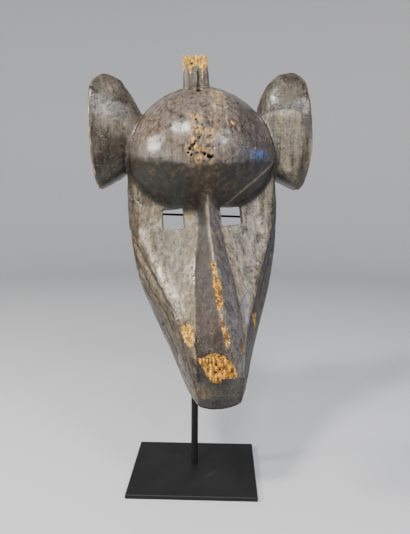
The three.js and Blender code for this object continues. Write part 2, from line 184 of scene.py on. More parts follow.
def sectionAt(height):
    height = np.asarray(height, float)
    size = {name: sizeAt(height, name) for name in sections if name != "height"}
    # above the crown's centre the rim is a circle and the face falls back to the band
    above = np.maximum(height - carving["crownHeight"], 0)
    share = np.sqrt(np.maximum(1 - (above / carving["crownRadius"]) ** 2, 0))
    band = carving["bandDepth"]
    crown = {"rim": carving["crownRadius"] * share, "edge": size["edge"] * share, "foot": size["foot"] * share,
             "edgeDepth": band, "footDepth": band + (size["footDepth"] - band) * share,
             "ridge": band + (size["ridge"] - band) * share ** 2}
    for name, value in crown.items():
        size[name] = np.where(height > carving["crownHeight"], value, size[name])
    return size


def planeDepth(x, size):
    across = clampUnit((np.abs(x) - size["foot"]) / np.maximum(size["edge"] - size["foot"], 1))
    return size["edgeDepth"] + (size["footDepth"] - size["edgeDepth"]) * (1 - across) ** carving["hollowing"]


def wallAt(depth, size):
    share = clampUnit(depth / size["edgeDepth"]) ** carving["wallBulge"]
    return size["rim"] - (size["rim"] - size["edge"]) * share, size["shift"] * (1 - share)


# what a table holds between its cells: from each cell's corner, by the share of the way to the next
def blended(table, base, part):
    total = 0
    for corner in range(8):
        bits = [(corner >> i) & 1 for i in range(3)]
        weight = 1
        for share, bit in zip(part, bits):
            weight = weight * (share if bit else 1 - share)
        total = total + weight * table[tuple(b + bit for b, bit in zip(base, bits))]
    return total


# smooth lumps of a given size, the same on every run
def lumps(points, size, seed):
    cells = patternSize["lumps"]
    table = np.random.default_rng(seed).random((cells, cells, cells)).astype(np.float32)
    place = [np.asarray(p) / s for p, s in zip(points, size)]
    base = [np.floor(c).astype(int) for c in place]
    part = [c - b for c, b in zip(place, base)]
    eased = [p * p * (3 - 2 * p) for p in part]
    return blended(np.pad(table, (0, 1), mode="wrap"), [b % cells for b in base], eased) - 0.5


# shallow scoops such as an adze leaves: 0 in the middle of a scoop, up to 1 on its rim
def scoops(u, v, size, seed):
    cells = patternSize["scoops"]
    table = np.random.default_rng(seed).random((cells, cells, 2)).astype(np.float32)
    cu, cv = np.asarray(u) / size[0], np.asarray(v) / size[1]
    iu, iv = np.floor(cu).astype(int), np.floor(cv).astype(int)
    nearest = np.full(np.broadcast(cu, cv).shape, 9.0, np.float32)
    for du in (-1, 0, 1):
        for dv in (-1, 0, 1):
            spot = table[(iu + du) % cells, (iv + dv) % cells]
            distance = (iu + du + spot[..., 0] - cu) ** 2 + (iv + dv + spot[..., 1] - cv) ** 2
            nearest = np.minimum(nearest, distance)
    return np.sqrt(nearest)


def adzed(name, u, v, seedShift=0):
    deep, size, seed = adze[name]
    return deep * (scoops(u, v, size, seed + seedShift) - 0.5)


# distance on a flat map from a line through given points
def lineDistance(u, v, route):
    nearest = np.full(np.broadcast(u, v).shape, 1e9, np.float32)
    for (u0, v0), (u1, v1) in zip(route, route[1:]):
        du, dv = u1 - u0, v1 - v0
        along = clampUnit(((u - u0) * du + (v - v0) * dv) / (du * du + dv * dv))
        nearest = np.minimum(nearest, (u - u0 - along * du) ** 2 + (v - v0 - along * dv) ** 2)
    return np.sqrt(nearest)


axes = [np.arange(low, high, carving["gridStep"]) for low, high in zip(carving["low"], carving["high"])]
gridX = axes[0][:, None, None].astype(np.float32)
gridP = axes[1][None, :, None].astype(np.float32)
gridZ = axes[2][None, None, :].astype(np.float32)


# flat maps of the face and the side walls, with what was cut or worn into them

noseLines = {
    "height": [18, -32, -70, -105, -140, -175, -245],
    "leftFoot": [-11, -13.5, -19, -22.5, -25, -28, -22],
    "rightFoot": [12, 16, 22.5, 28.5, 33.5, 33, 22],
    "ridge": [-3, -1, 1, 2, 4, 9, 3],
    "roundness": [1.25, 1.25, 1.35, 1.45, 1.6, 1.8, 2.0],
}
wear = {
    "noseEnd": [(-22, -186), (-12, -180), (-3, -178), (10, -186), (16, -198), (20, -210), (4, -208), (-2, -215),
                (-10, -215), (-17, -207), (-20, -200), (-25, -191), (-32, -187)],
    "leftFlake": [(-42, -149), (-29, -148), (-29, -157), (-32, -176), (-39, -170), (-43, -159)],
    "ridgeUpper": [(-2.5, -70), (1.5, -70), (3, -89), (7, -99), (6, -112), (5, -127), (0, -127), (-2, -110),
                   (-2, -89)],
    "ridgeLower": [(2, -136), (6, -140), (8, -150), (12, -167), (8, -170), (4, -152)],
    "rightFlake": [(28, -166), (32, -175), (27, -185), (25, -178)],
    "rightArris": [(51, -140), (56, -142), (59, -154), (55, -161), (53, -152)],
    "wormPatch": [(-21, 111), (-7, 108), (6, 95), (4, 84), (-3, 76), (2, 60), (-1, 54), (-20, 53), (-24, 61),
                  (-29, 71), (-25, 77), (-20, 94)],
    "tanPatch": [(6, 149), (24, 147), (20, 134), (14, 120), (11, 134)],
}
browEdge = [(94, 58), (88, 52), (76, 43), (65, 34), (54, 26), (43, 17), (34, 9), (26, 2)]
stepLine = {"x": [-60, -32, -25, -20, -17, -10, -2, 4, 20, 34, 60],
            "z": [-183, -187, -192, -200, -207, -215, -215, -208.5, -210, -215, -222],
            "deep": 4.6, "run": 2.2, "wander": 3, "leftEnd": (-36, -31), "rightEnd": (60, 48)}
# how much deeper than the skin each flake lies, long shallow cuts on the right cheek, and the chin's crack
flakeDepths = {"leftFlake": 1.6, "ridgeUpper": 0.8, "ridgeLower": 0.9, "rightFlake": 1.1, "rightArris": 1.2}
cheekCuts = {"deep": 0.9, "wide": 1.5, "routes": [
    [(50, -50), (55, -85), (57, -126)], [(37, -60), (44, -105), (47, -140)], [(60, -40), (66, -80)]]}
chinCrack = {"deep": 0.7, "wide": 1.1, "route": [(-3, -219), (-1.5, -226), (0, -232), (1, -240)]}
groove = {"deep": 3.2, "wide": 1.6, "wander": 1.1}
leftGrooves = [
    [(6, -41), (14, -60), (21, -76), (41, -107), (65, -141)],
    [(12, -49), (18, -65), (27, -81), (53, -119), (70, -140)],
    [(2, -30), (6, -62), (14, -84), (32, -112), (52, -140), (62, -160)],
    [(3, -88), (14, -108), (30, -132), (44, -160), (58, -190)],
    [(30, -163), (49, -197), (70, -212), (91, -224), (103, -236)],
    [(74, -160), (84, -185), (96, -210), (104, -232)],
]
rightGrooves = [
    [(5, -30), (12, -62), (26, -90), (50, -124)],
    [(3, -70), (16, -102), (36, -134), (52, -165)],
    [(40, -170), (62, -200), (88, -222)],
]


# how far inside a closed outline a point of the flat map lies, negative outside it
def insideOutline(u, v, outline):
    closed = outline + outline[:1]
    within = np.zeros(np.broadcast(u, v).shape, bool)
    for (u0, v0), (u1, v1) in zip(closed, closed[1:]):
        if v0 != v1:
            crossing = (v0 > v) != (v1 > v)
            within ^= crossing & (u < (u1 - u0) * (v - v0) / (v1 - v0) + u0)
    return np.where(within, 1, -1) * lineDistance(u, v, closed)


def noseAt(z):
    heights = noseLines["height"][::-1]
    return {name: np.interp(z, heights, values[::-1]) for name, values in noseLines.items()}


def faceMap():
    x, z = axes[0][:, None], axes[2][None, :]
    size, nose = sectionAt(axes[2]), noseAt(axes[2])
    across = np.where(x < nose["ridge"], (nose["ridge"] - x) / (nose["ridge"] - nose["leftFoot"]),
                      (x - nose["ridge"]) / (nose["rightFoot"] - nose["ridge"]))
    lift = (size["ridge"] - size["footDepth"]) * (1 - clampUnit(across) ** nose["roundness"])
    depth = planeDepth(x, size) + lift
    # the step under the nose, cut back along an uneven line
    below = np.interp(x, stepLine["x"], stepLine["z"]) + stepLine["wander"] * lumps((x, 0 * x, z), (7, 7, 7), 3) - z
    cut = stepLine["deep"] * clampUnit(below / stepLine["run"])
    depth = depth - cut * ramp(x, *stepLine["rightEnd"]) * ramp(x, *stepLine["leftEnd"])
    lip = carving["lipDepth"] - carving["lipSlope"] * np.maximum(carving["lipHeight"] - z, 0)
    depth = np.where(z < carving["lipHeight"] + 1, np.minimum(depth, lip), depth)
    depth = depth + adzed("face", x, z) + adzed("faceWide", x + 3, z)
    for route in cheekCuts["routes"]:
        depth = depth - cheekCuts["deep"] * near(lineDistance(x, z, route), cheekCuts["wide"])
    for name, sink in flakeDepths.items():
        depth = depth - sink * ramp(insideOutline(x, z, wear[name]), -0.8, 1.0)
    return depth - chinCrack["deep"] * near(lineDistance(x, z, chinCrack["route"]), chinCrack["wide"])


# how far each place of a side wall lies out or in, with its grooves
def wallMap(wall, routes):
    p, z = axes[1][:, None], axes[2][None, :]
    depth, seed = adzed(wall, z, p), adze[wall][2]
    for number, route in enumerate(routes):
        wander = groove["wander"] * lumps((p, z, 0 * p + number), (14, 14, 1), seed + 1)
        fade = clampUnit(0.65 + lumps((p, z, 0 * p), (11, 11, 1), seed + 2 + number) * 1.4)
        distance = np.abs(lineDistance(p, z, route) + wander)
        depth = depth - groove["deep"] * fade * near(distance, groove["wide"])
    return depth


# how much longer than level a flat map's surface runs
def steepness(flatMap):
    du, dv = np.gradient(flatMap, carving["gridStep"])
    return np.sqrt(1 + np.minimum(du ** 2 + dv ** 2, 16))


# the carved block: face in front, side walls, and the boat-shaped underside
def blockField():
    depth = faceMap()
    front = (gridP - depth[:, None, :]) / steepness(depth)[:, None, :]
    size = sectionAt(axes[2])
    width, shift = wallAt(axes[1][:, None], size)
    slope = steepness(width)
    left = -(gridX - shift) - (width + wallMap("leftWall", leftGrooves))
    right = (gridX - shift) - (width + wallMap("rightWall", rightGrooves))
    side = (np.maximum(left, right) / slope).astype(np.float32)
    field = softMax(front.astype(np.float32), side, 1.5)
    field = softMax(field, aboveKeel(0), 4)
    return softMax(field, -gridP, 1.6)


# outside the boat-shaped underside: lift draws it in to give the hollow's
def aboveKeel(lift):
    along = clampUnit(axes[1] / keel["chinDepth"])
    bottom = keel["rimBottom"] - keel["drop"] * (1 - (1 - along) ** keel["sweep"]) + lift
    rounding = keel["roundBack"] + (keel["roundFront"] - keel["roundBack"]) * along
    width, shift = wallAt(np.maximum(axes[1], 0), sectionAt(bottom + rounding))
    bottom, rounding, width, shift = (a[None, :, None] for a in (bottom, rounding, width - 0.8 * lift, shift))
    aside = np.abs(gridX - shift) / width
    under = np.maximum(bottom + rounding - gridZ, 0) / rounding
    reach = np.sqrt(aside ** 2 + under ** 2) + 1e-6
    rounded = (reach - 1) * reach / np.sqrt((aside / width) ** 2 + (under / rounding) ** 2 + 1e-9)
    flare = (keel["flareWidth"] - width) / keel["flareRun"]
    flared = (aside * width - width - (gridZ - bottom - rounding) * flare) / np.sqrt(1 + flare ** 2)
    return np.where(gridZ < bottom + rounding, rounded, flared).astype(np.float32)


# the forehead: a ball above the brow, drawn back more quickly below it
def domeShare(x, z, radius, bottom, brow):
    height = dome["height"]
    above = (x / radius) ** 2 + ((z - height) / radius) ** 2
    browLine = brow + dome["browRise"] * (np.abs(x - dome["browCentre"]) / dome["browSpan"]) ** dome["browCurve"]
    browLine = np.minimum(browLine, dome["browHighest"])
    atBrow = (x / radius) ** 2 + ((browLine - height) / radius) ** 2
    power = dome["underPower"] + (dome["sidePower"] - dome["underPower"]) * clampUnit(np.abs(x) / radius) ** 2
    fall = (np.maximum(browLine - z, 0) / (browLine - bottom)) ** power
    return np.where(z > browLine, above, atBrow + (1 - ((brow - height) / radius) ** 2) * fall)


def domeField(radius, depth, bottom, brow):
    share = domeShare(axes[0][:, None], axes[2][None, :], radius, bottom, brow)
    su, sv = np.gradient(share, carving["gridStep"])
    reach = np.sqrt(np.maximum(share[:, None, :] + (gridP / depth) ** 2, 1e-6))
    steep = np.sqrt((su ** 2 + sv ** 2)[:, None, :] / 4 + (gridP / depth ** 2) ** 2 + 1e-7) / reach
    return ((reach - 1) / steep).astype(np.float32)


# under the right of the ball a hollow band is cut back from a sharp edge to the cheek
def browCut():
    x = axes[0]
    edgeZ = heightOn(browEdge, x)
    share = domeShare(x, edgeZ, dome["radius"], dome["bottom"], dome["browMiddle"])
    depth = dome["depth"] * np.sqrt(np.maximum(1 - share, 0))
    below = edgeZ[:, None, None] - gridZ
    slope = dome["cutSlope"]
    cut = (gridP - depth[:, None, None] + slope * below) / math.sqrt(1 + slope ** 2)
    # no cut above the edge, nor left of the nose's right side
    cut = cut - 3 * np.maximum(-below, 0) - 40 * ramp(gridX, 30, 12)
    return cut.astype(np.float32)


def earAxes(ear):
    turn, lean = math.radians(earShape["turn"]), math.radians(ear["lean"])
    inward = Vector((-ear["side"] * math.cos(turn), -math.sin(turn), 0))
    up = Vector((-ear["side"] * math.sin(lean), 0, math.cos(lean)))
    along = up.cross(inward).normalized()
    return along, inward.cross(along).normalized(), inward


# how far the mouth's edge is drawn in at its rounded top and its slanted lower end
def drawnIn(ear, up):
    top, low = ramp(up / ear["tall"], 0.72, 1), ramp(-up / ear["tall"], 0.3, 1)
    return ear["topRound"] * top ** 2.2 + ear["lowSlant"] * low ** 1.2


# across the cup, up it and inwards from its mouth, for any points of the carving
def earPlaces(ear, x, p, z):
    rx, ry, rz = x - ear["side"] * ear["x"], -p - earShape["back"], z - ear["height"]
    across, up, inward = (rx * a[0] + ry * a[1] + rz * a[2] for a in earAxes(ear))
    return across, up, inward + ear["bulge"] * (1 - (up / ear["tall"]) ** 2) - drawnIn(ear, up)


# a cup's shell, deepest in the middle; the photograph gives how far it reaches in at each height
def earField(ear, wall, x, p, z, cupDepth=None):
    across, up, inward = earPlaces(ear, x, p, z)
    high = clampUnit(0.5 + up / 50)
    n = earShape["lowerPower"] + (earShape["upperPower"] - earShape["lowerPower"]) * high
    tall, reach = ear["tall"] - wall, earShape["reach"] - wall
    a, b = np.abs(across) / reach, np.abs(up) / tall
    if cupDepth is None:
        depth = np.maximum(np.interp(up / tall, ear["up"], ear["reachIn"]) - drawnIn(ear, up), 3)
        depth = depth / np.sqrt(np.maximum(1 - b ** n, 0.02))
    else:
        depth = cupDepth
    d = np.maximum(inward, 0) / depth
    far = np.sqrt(a ** n + b ** n + d ** 2) + 1e-6
    steep = np.sqrt((n * a ** (n - 1) / (2 * reach)) ** 2 + (n * b ** (n - 1) / (2 * tall)) ** 2
                    + (d / depth) ** 2) / far
    return (far - 1) / (steep + 1e-3), inward


# the part of the grid between two corners, as slices
def gridPart(low, high):
    return tuple(slice(max(int((a - s) / carving["gridStep"]), 0), int((b - s) / carving["gridStep"]) + 2)
                 for a, b, s in zip(low, high, carving["low"]))


def partPlaces(part):
    return gridX[part[0]], gridP[:, part[1]], gridZ[:, :, part[2]]


# the part of the grid round an ear, from a given distance beside the middle outwards
def earPart(ear, inner):
    left, right = sorted((ear["side"] * inner, ear["side"] * 166))
    return gridPart((left, -50, 20), (right, 40, 190))


def addEars(field):
    for ear in ears:
        part = earPart(ear, 50)
        x, p, z = partPlaces(part)
        shell, inward = earField(ear, 0, x, p, z)
        shell = np.maximum(softMax(shell, -inward, 2.5), (shell - inward) * 0.7071 + ear["chamfer"] * 0.5)
        scoop = adzed("ears", z, p, ear["side"])
        field[part] = softMin(field[part], shell + scoop * clampUnit(1 - np.abs(shell) / 8), 5)


def openEars(field):
    for ear in ears:
        part = earPart(ear, 90)
        x, p, z = partPlaces(part)
        cup, inward = earField(ear, earShape["wall"], x, p, z, earShape["cupDepth"])
        cup = cup + adzed("earCups", z, p, ear["side"])
        cup = np.where(inward < -8, np.maximum(cup, 0), cup)
        field[part] = softMax(field[part], -cup, 1.8)


# the stump of the crest, snapped off across the grain in steps and splinters
def addCrest(field):
    part = gridPart((-34, 0, 130), (22, 44, 203))
    x, p, z = partPlaces(part)
    share = (z - crest["foot"]) / (crest["top"] - crest["foot"])
    left = crest["left"] + (crest["topLeft"] - crest["left"]) * share - x
    right = x - crest["right"] - (crest["topRight"] - crest["right"]) * share
    sides = softMax(left, right, 4)
    front = p - crest["front"] - crest["flutes"] * (scoops(x, z, (6, 40), 62) - 0.6)
    stump = softMax(sides, softMax(front, crest["back"] - p, 3), 7)
    splinters = clampUnit(lumps((x, p, 0 * x), (3.4, 3.4, 1), 63) + 0.28)
    steps = clampUnit(lumps((x, p, 0 * x), (9, 9, 1), 64) + 0.1)
    broken = crest["top"] - 1.5 - crest["splinters"] * splinters - crest["snappedStep"] * steps
    stump = softMax(stump, (z - broken) * 0.75, 1.2)
    field[part] = softMin(field[part], stump, 2.4)


# the open hollow at the back, which follows the outside a wall's thickness further in
def hollowField():
    size = sectionAt(axes[2])
    x = axes[0][:, None]
    depth = np.clip(planeDepth(x, size) - hollow["frontWall"], 0.5, hollow["deepest"])
    depth = depth + adzed("hollow", x, axes[2][None, :])
    front = (gridP - depth[:, None, :]) / steepness(depth)[:, None, :]
    widest = size["rim"] - hollow["rimWall"]
    inner = np.minimum(size["edge"] - hollow["rimWall"] * 0.6, widest)
    reach = np.maximum(np.clip(planeDepth(inner, size) - hollow["frontWall"], 0.5, hollow["deepest"]), 4)
    narrowing = (widest - inner) * clampUnit(np.maximum(axes[1][:, None], 0) / reach) ** 1.4
    side = np.abs(gridX - size["shift"]) - (widest - narrowing)
    field = softMax(front.astype(np.float32), side.astype(np.float32), 7)
    field = softMax(field, aboveKeel(hollow["keelWall"]), 7)
    field = np.maximum(field, gridZ - hollow["top"])
    inner = domeField(hollow["radius"], hollow["depth"], 60 - hollow["under"], dome["browMiddle"] + 6)
    return softMin(field, inner, 10)


# an eye hole, wider in front than behind
def eyeField(eye, x, p, z):
    turn = math.radians(eye["roll"])
    dx, dz = x - eye["x"], z - eye["height"]
    u, v = dx * math.cos(turn) + dz * math.sin(turn), dz * math.cos(turn) - dx * math.sin(turn)
    size = sectionAt(eye["height"])
    behind = clampUnit((float(planeDepth(eye["x"], size)) - p) / hollow["frontWall"])
    left = -u - eye["width"] / 2 + eye["fromLeft"] * behind
    right = u - eye["width"] / 2 + eye["fromRight"] * behind
    top = v - eye["tall"] / 2 - eye["above"] * (1 - behind)
    return softMax(np.maximum(left, right), np.maximum(top, -v - eye["tall"] / 2), 2.2)


def carveMask():
    block = blockField()
    ball = domeField(dome["radius"], dome["depth"], dome["bottom"], dome["browMiddle"])
    ball = softMax(ball, browCut(), 1.2)
    # a cove under the brow, tighter on the right, and a tight line where the ball meets the rim
    reach = 2.4 + (9 - 4.5 * clampUnit(gridX / 30)) * clampUnit((38 - gridZ) / 34)
    field = softMax(softMin(block, ball, reach), -gridP, 1.6)
    del block, ball
    addEars(field)
    addCrest(field)
    # the cells near the skin are made uneven, and the ball gets its adze scoops
    atSkin = np.nonzero(np.abs(field) < 5)
    x, p, z = axes[0][atSkin[0]], axes[1][atSkin[1]], axes[2][atSkin[2]]
    onBall = ramp(z, -10, 30) * ramp(np.abs(x), 100, 90)
    bend = np.arctan2(x, p + 30) * 95
    uneven = sum(strong * lumps((x, p, z), size, seed) for strong, size, seed in unevenness)
    uneven = uneven + onBall * adzed("forehead", bend, z)
    field[atSkin] += uneven.astype(np.float32)
    inside = hollowField()
    field = softMax(field, -inside, 2.2)
    del inside
    openEars(field)
    beside = 24  # no eye reaches further from its middle
    for eye in eyes:
        part = gridPart((eye["x"] - beside, 0, eye["height"] - beside),
                        (eye["x"] + beside, 80, eye["height"] + beside))
        x, p, z = partPlaces(part)
        field[part] = softMax(field[part], -eyeField(eye, x, p, z), 1.2)
    return field


# worm galleries and cracks, cut into the finished field

# takes away a round gouge along a line of places, with its rim rounded off
def gouge(field, places, radius, rimRound=0.8):
    for start, end in zip(places, places[1:]):
        margin = radius + 2.5
        part = gridPart(np.minimum(start, end) - margin, np.maximum(start, end) + margin)
        x, p, z = partPlaces(part)
        d = np.subtract(end, start)
        along = (x - start[0]) * d[0] + (p - start[1]) * d[1] + (z - start[2]) * d[2]
        along = clampUnit(along / max(d @ d, 1e-6))
        distance = np.sqrt((x - start[0] - along * d[0]) ** 2 + (p - start[1] - along * d[1]) ** 2
                           + (z - start[2] - along * d[2]) ** 2)
        field[part] = softMax(field[part], radius - distance, rimRound)


# how far forward the outside lies all over the front, read from the field before any wear
def frontDepths(field):
    solid = field < 0
    last = field.shape[1] - 1 - np.argmax(solid[:, ::-1], axis=1)
    last = np.minimum(last, field.shape[1] - 2)
    i, k = np.indices(last.shape)
    here, ahead = field[i, last, k], field[i, last + 1, k]
    depth = carving["low"][1] + carving["gridStep"] * (last + np.clip(here / (here - ahead + 1e-6), 0, 1))
    return np.where(solid.any(axis=1), depth, -999).astype(np.float32)


def frontDepth(x, z):
    i = int(round((x - carving["low"][0]) / carving["gridStep"]))
    k = int(round((z - carving["low"][2]) / carving["gridStep"]))
    return float(frontMap[i, k])


galleries = {
    "wormPatch": {"count": 90, "radius": (0.5, 1.1), "deep": (-0.5, 0.9), "length": 5.0, "seed": 5},
    "noseEnd": {"count": 80, "radius": (0.5, 1.05), "deep": (-0.5, 0.8), "length": 4.5, "seed": 6},
}
pits = {
    "wormPatch": [(-26, 69, 2.0), (-23, 72, 1.9), (-28, 64, 1.4), (-4, 59, 1.9), (0, 58, 1.5), (-16, 105, 1.2),
                  (-20, 74, 1.5), (-24, 61, 1.4), (-19, 77, 1.2), (-8, 62, 1.3), (-29, 67, 1.2)],
    "noseEnd": [(-6, -192, 1.2), (-2, -197, 1.3), (3, -194, 1.1), (-7, -201, 1.2), (5, -202, 1.1)],
}
splits = [
    # crest: the long crack, the hole at its foot, and the small hole by the broken top
    {"places": [(-6, 174), (-5, 168), (-6, 161), (-6, 156)], "radius": 1.5, "sink": 0.2},
    {"places": [(-6, 157), (-6, 156)], "radius": 2.6, "sink": 0.0},
    {"places": [(-13, 187), (-13, 184)], "radius": 1.7, "sink": 0.4},
    {"places": [(-15.5, 185), (-16, 175)], "radius": 1.2, "sink": -0.2},
    {"places": [(-1, 196), (-1.5, 186), (-2, 178)], "radius": 0.9, "sink": 0.1},
    # cheeks, brow and side
    {"places": [(-96, 14), (-90, 11), (-85, 5)], "radius": 1.1, "sink": 0.2},
    {"places": [(-98, 30), (-97, 22), (-96, 14)], "radius": 0.9, "sink": 0.2},
    {"places": [(7, 122), (8, 112), (6, 98)], "radius": 1.0, "sink": -0.2},
    {"places": [(14, 118), (14, 104), (12, 90)], "radius": 0.9, "sink": -0.2},
    {"places": [(21, 106), (23, 92), (22, 80)], "radius": 0.9, "sink": -0.3},
]
# a round hole through the band at the crest's foot, then a flight hole low on the left side
# and the hollow under the nose's left corner, with each place as x, depth and height
bandHole = {"x": -7, "height": 149, "radius": 2.3, "rimRound": 0.5}
openings = [
    {"places": [(-66, 36, -156), (-56, 34, -153)], "radius": 1.5, "rimRound": 0.5},
    {"places": [(-31, 106, -192), (-26, 113, -195), (-22, 115, -202)], "radius": 2.8, "rimRound": 1.5},
]


# short worm galleries at random places of a worn patch, most of them along the grain
def cutGalleries(field, name, gallery):
    rng = np.random.default_rng(gallery["seed"])
    outline = np.array(wear[name], float)
    low, high = outline.min(0), outline.max(0)
    made = 0
    while made < gallery["count"]:
        x, z = rng.uniform(low, high)
        if insideOutline(np.array([x]), np.array([z]), wear[name])[0] < -0.5:
            continue
        made += 1
        radius = rng.uniform(*gallery["radius"])
        deep = rng.uniform(*gallery["deep"])
        turn = rng.uniform(-0.9, 0.9) + (math.pi / 2 if rng.random() < 0.75 else 0)
        run = gallery["length"] * rng.uniform(0.4, 1)
        far = (x + run * math.cos(turn), z + run * math.sin(turn))
        start = np.array((x, frontDepth(x, z) - deep, z))
        end = np.array((far[0], frontDepth(*far) - deep - rng.uniform(-0.5, 1.5), far[1]))
        if end[1] > 0:
            gouge(field, [start, end], radius)


def wearMask(field):
    for name, gallery in galleries.items():
        cutGalleries(field, name, gallery)
    for spots in pits.values():
        for x, z, radius in spots:
            depth = frontDepth(x, z)
            gouge(field, [np.array((x, depth + 1, z)), np.array((x + 1, depth - 6, z - 1))], radius)
    x, z = bandHole["x"], bandHole["height"]
    depth = frontDepth(x, z)
    through = [np.array((x, depth + 2, z)), np.array((x + 1, depth - 12, z - 2))]
    gouge(field, through, bandHole["radius"], bandHole["rimRound"])
    for hole in openings:
        gouge(field, [np.array(place) for place in hole["places"]], hole["radius"], hole["rimRound"])
    for split in splits:
        places = [np.array((x, frontDepth(x, z) + split["radius"] * 0.35 - split["sink"], z))
                  for x, z in split["places"]]
        gouge(field, places, split["radius"], 0.6)


allButLast, allButFirst = (None, -1), (1, None)


# the part of a grid between two cells along each given axis, and all of it along the others
def cropped(grid, **cuts):
    take = [slice(*cuts.get(axis, (None, None))) for axis in "xyz"]
    return grid[tuple(take)]


# where solid cells touch only along an edge the skin would pinch, so such places are filled
def fillPinches(field):
    rounds = 4
    for _ in range(rounds):
        changed = 0
        for u, v in ("xy", "yz", "xz"):
            parts = [cropped(field, **{u: first, v: second}) for first, second in (
                (allButLast, allButLast), (allButFirst, allButLast), (allButFirst, allButFirst),
                (allButLast, allButFirst))]
            a, b, c, d = (part < 0 for part in parts)
            pinched = (a & c & ~b & ~d) | (b & d & ~a & ~c)
            changed += int(pinched.sum())
            for part in parts:
                part[pinched & (part >= 0)] = -0.02
        if changed == 0:
            break
    return changed


# a closed mesh round the solid part of the field: one corner in each crossed cell of the grid
def skinField(field):
    step = carving["gridStep"]
    solid = field < 0
    shape = field.shape
    cells, places, quads = [], [], []
    strides = np.array((shape[1] * shape[2], shape[2], 1))
    for axis, letter in enumerate("xyz"):
        before, after = (cropped(solid, **{letter: cut}) for cut in (allButLast, allButFirst))
        crossed = np.argwhere(before != after)
        inner = np.all((crossed >= 1) & (crossed < np.array(shape) - 1), axis=1)
        crossed = crossed[inner]
        start = field[tuple(crossed.T)]
        shifted = crossed.copy()
        shifted[:, axis] += 1
        end = field[tuple(shifted.T)]
        place = crossed.astype(np.float32)
        place[:, axis] += start / (start - end)
        u, v = (axis + 1) % 3, (axis + 2) % 3
        around = []
        for du, dv in ((0, 0), (-1, 0), (-1, -1), (0, -1)):
            cell = crossed.copy()
            cell[:, u] += du
            cell[:, v] += dv
            around.append(cell @ strides)
        around = np.stack(around, 1)
        flip = start < 0
        around[flip] = around[flip][:, ::-1]
        quads.append(around)
        cells.append(around.ravel())
        places.append(np.repeat(place, 4, axis=0))
    cells, places, quads = np.concatenate(cells), np.concatenate(places), np.concatenate(quads)
    used, where = np.unique(cells, return_inverse=True)
    count = np.bincount(where)
    corners = np.stack([np.bincount(where, places[:, i]) / count for i in range(3)], 1)
    faces = np.searchsorted(used, quads)
    return corners * step + np.array(carving["low"]), faces


# from the carving's own millimetres to the scene
def maskTurn():
    turn = Matrix.Rotation(math.radians(hang["turn"]), 3, "Z")
    lean = Matrix.Rotation(-math.radians(hang["leanBack"]), 3, "X")
    roll = Matrix.Rotation(-math.radians(hang["roll"]), 3, "Y")
    return np.array(turn @ lean @ roll)


def toScene(places):
    local = np.stack([places[:, 0], -places[:, 1], places[:, 2]], 1)
    return (local @ maskTurn().T + np.array((hang["right"], hang["back"], hang["height"]))) * mm


def toCarving(places):
    local = (places / mm - np.array((hang["right"], hang["back"], hang["height"]))) @ maskTurn()
    return np.stack([local[:, 0], -local[:, 1], local[:, 2]], 1)


def meshObject(name, vertices, faces):
    mesh = bpy.data.meshes.new(name)
    mesh.vertices.add(len(vertices))
    mesh.vertices.foreach_set("co", np.asarray(vertices, np.float32).ravel())
    side = faces.shape[1]
    mesh.loops.add(len(faces) * side)
    mesh.loops.foreach_set("vertex_index", faces.astype(np.int32).ravel())
    mesh.polygons.add(len(faces))
    mesh.polygons.foreach_set("loop_start", np.arange(0, len(faces) * side, side, dtype=np.int32))
    mesh.update(calc_edges=True)
    mesh.validate()
    made = bpy.data.objects.new(name, mesh)
    scene.collection.objects.link(made)
    return made


def bakeModifiers(made):
    graph = bpy.context.evaluated_depsgraph_get()
    plain = bpy.data.meshes.new_from_object(made.evaluated_get(graph), depsgraph=graph)
    made.modifiers.clear()
    old = made.data
    made.data = plain
    bpy.data.meshes.remove(old)


# where each look belongs on the carving, worked out at the corners of its mesh

looks = {
    "base": (0.046, 0.037, 0.026), "cheek": (0.125, 0.108, 0.078), "cheekDark": (0.050, 0.041, 0.028),
    "olive": (0.150, 0.112, 0.050), "noseLeft": (0.015, 0.011, 0.007), "noseRight": (0.066, 0.055, 0.047),
    "domeTop": (0.078, 0.062, 0.052), "domeWarm": (0.105, 0.080, 0.056), "domeUnder": (0.011, 0.010, 0.0055),
    "wall": (0.028, 0.021, 0.012), "wallLight": (0.110, 0.083, 0.046), "ear": (0.022, 0.018, 0.013),
    "earLight": (0.135, 0.115, 0.085), "chin": (0.030, 0.023, 0.013), "crest": (0.070, 0.056, 0.036),
    "inside": (0.045, 0.030, 0.018), "cup": (0.026, 0.019, 0.012), "worn": (0.062, 0.027, 0.012),
    "tan": (0.230, 0.135, 0.036), "edgeLight": (0.240, 0.190, 0.130), "black": (0.006, 0.005, 0.004),
    "rubbed": (0.36, 0.32, 0.26), "cheekLight": (0.225, 0.195, 0.148), "domeSide": (0.040, 0.035, 0.032),
}
# where painted shade darkens the ball under the brow, and the right ear's cut face, painted lighter as lit
browShadeLine = [(-100, 67), (-74, 63), (-38, 55), (-25, 48), (13, 50), (44, 53), (74, 56), (100, 59)]
earLitFacet = [(95, 104), (105, 122), (117, 132), (135, 125), (139, 100), (138, 77), (130, 41), (108, 43), (95, 74)]
# flecks of raw wood: x, height, reach
specks = [(28, 101, 2.2), (30, 99, 1.5), (7, 70, 1.0), (30, 68, 1.6), (41, 73, 1.2), (46, 71, 1.0), (58, 70, 1.8),
          (11, 70, 1.2), (30, 58, 1.6), (41, 65, 0.9), (-69, 111, 1.3), (-76, 87, 1.8), (-78, 82, 1.2),
          (52, 66, 0.8), (35, 62, 1.0), (-11, 152, 1.4), (-2, 153, 1.2)]
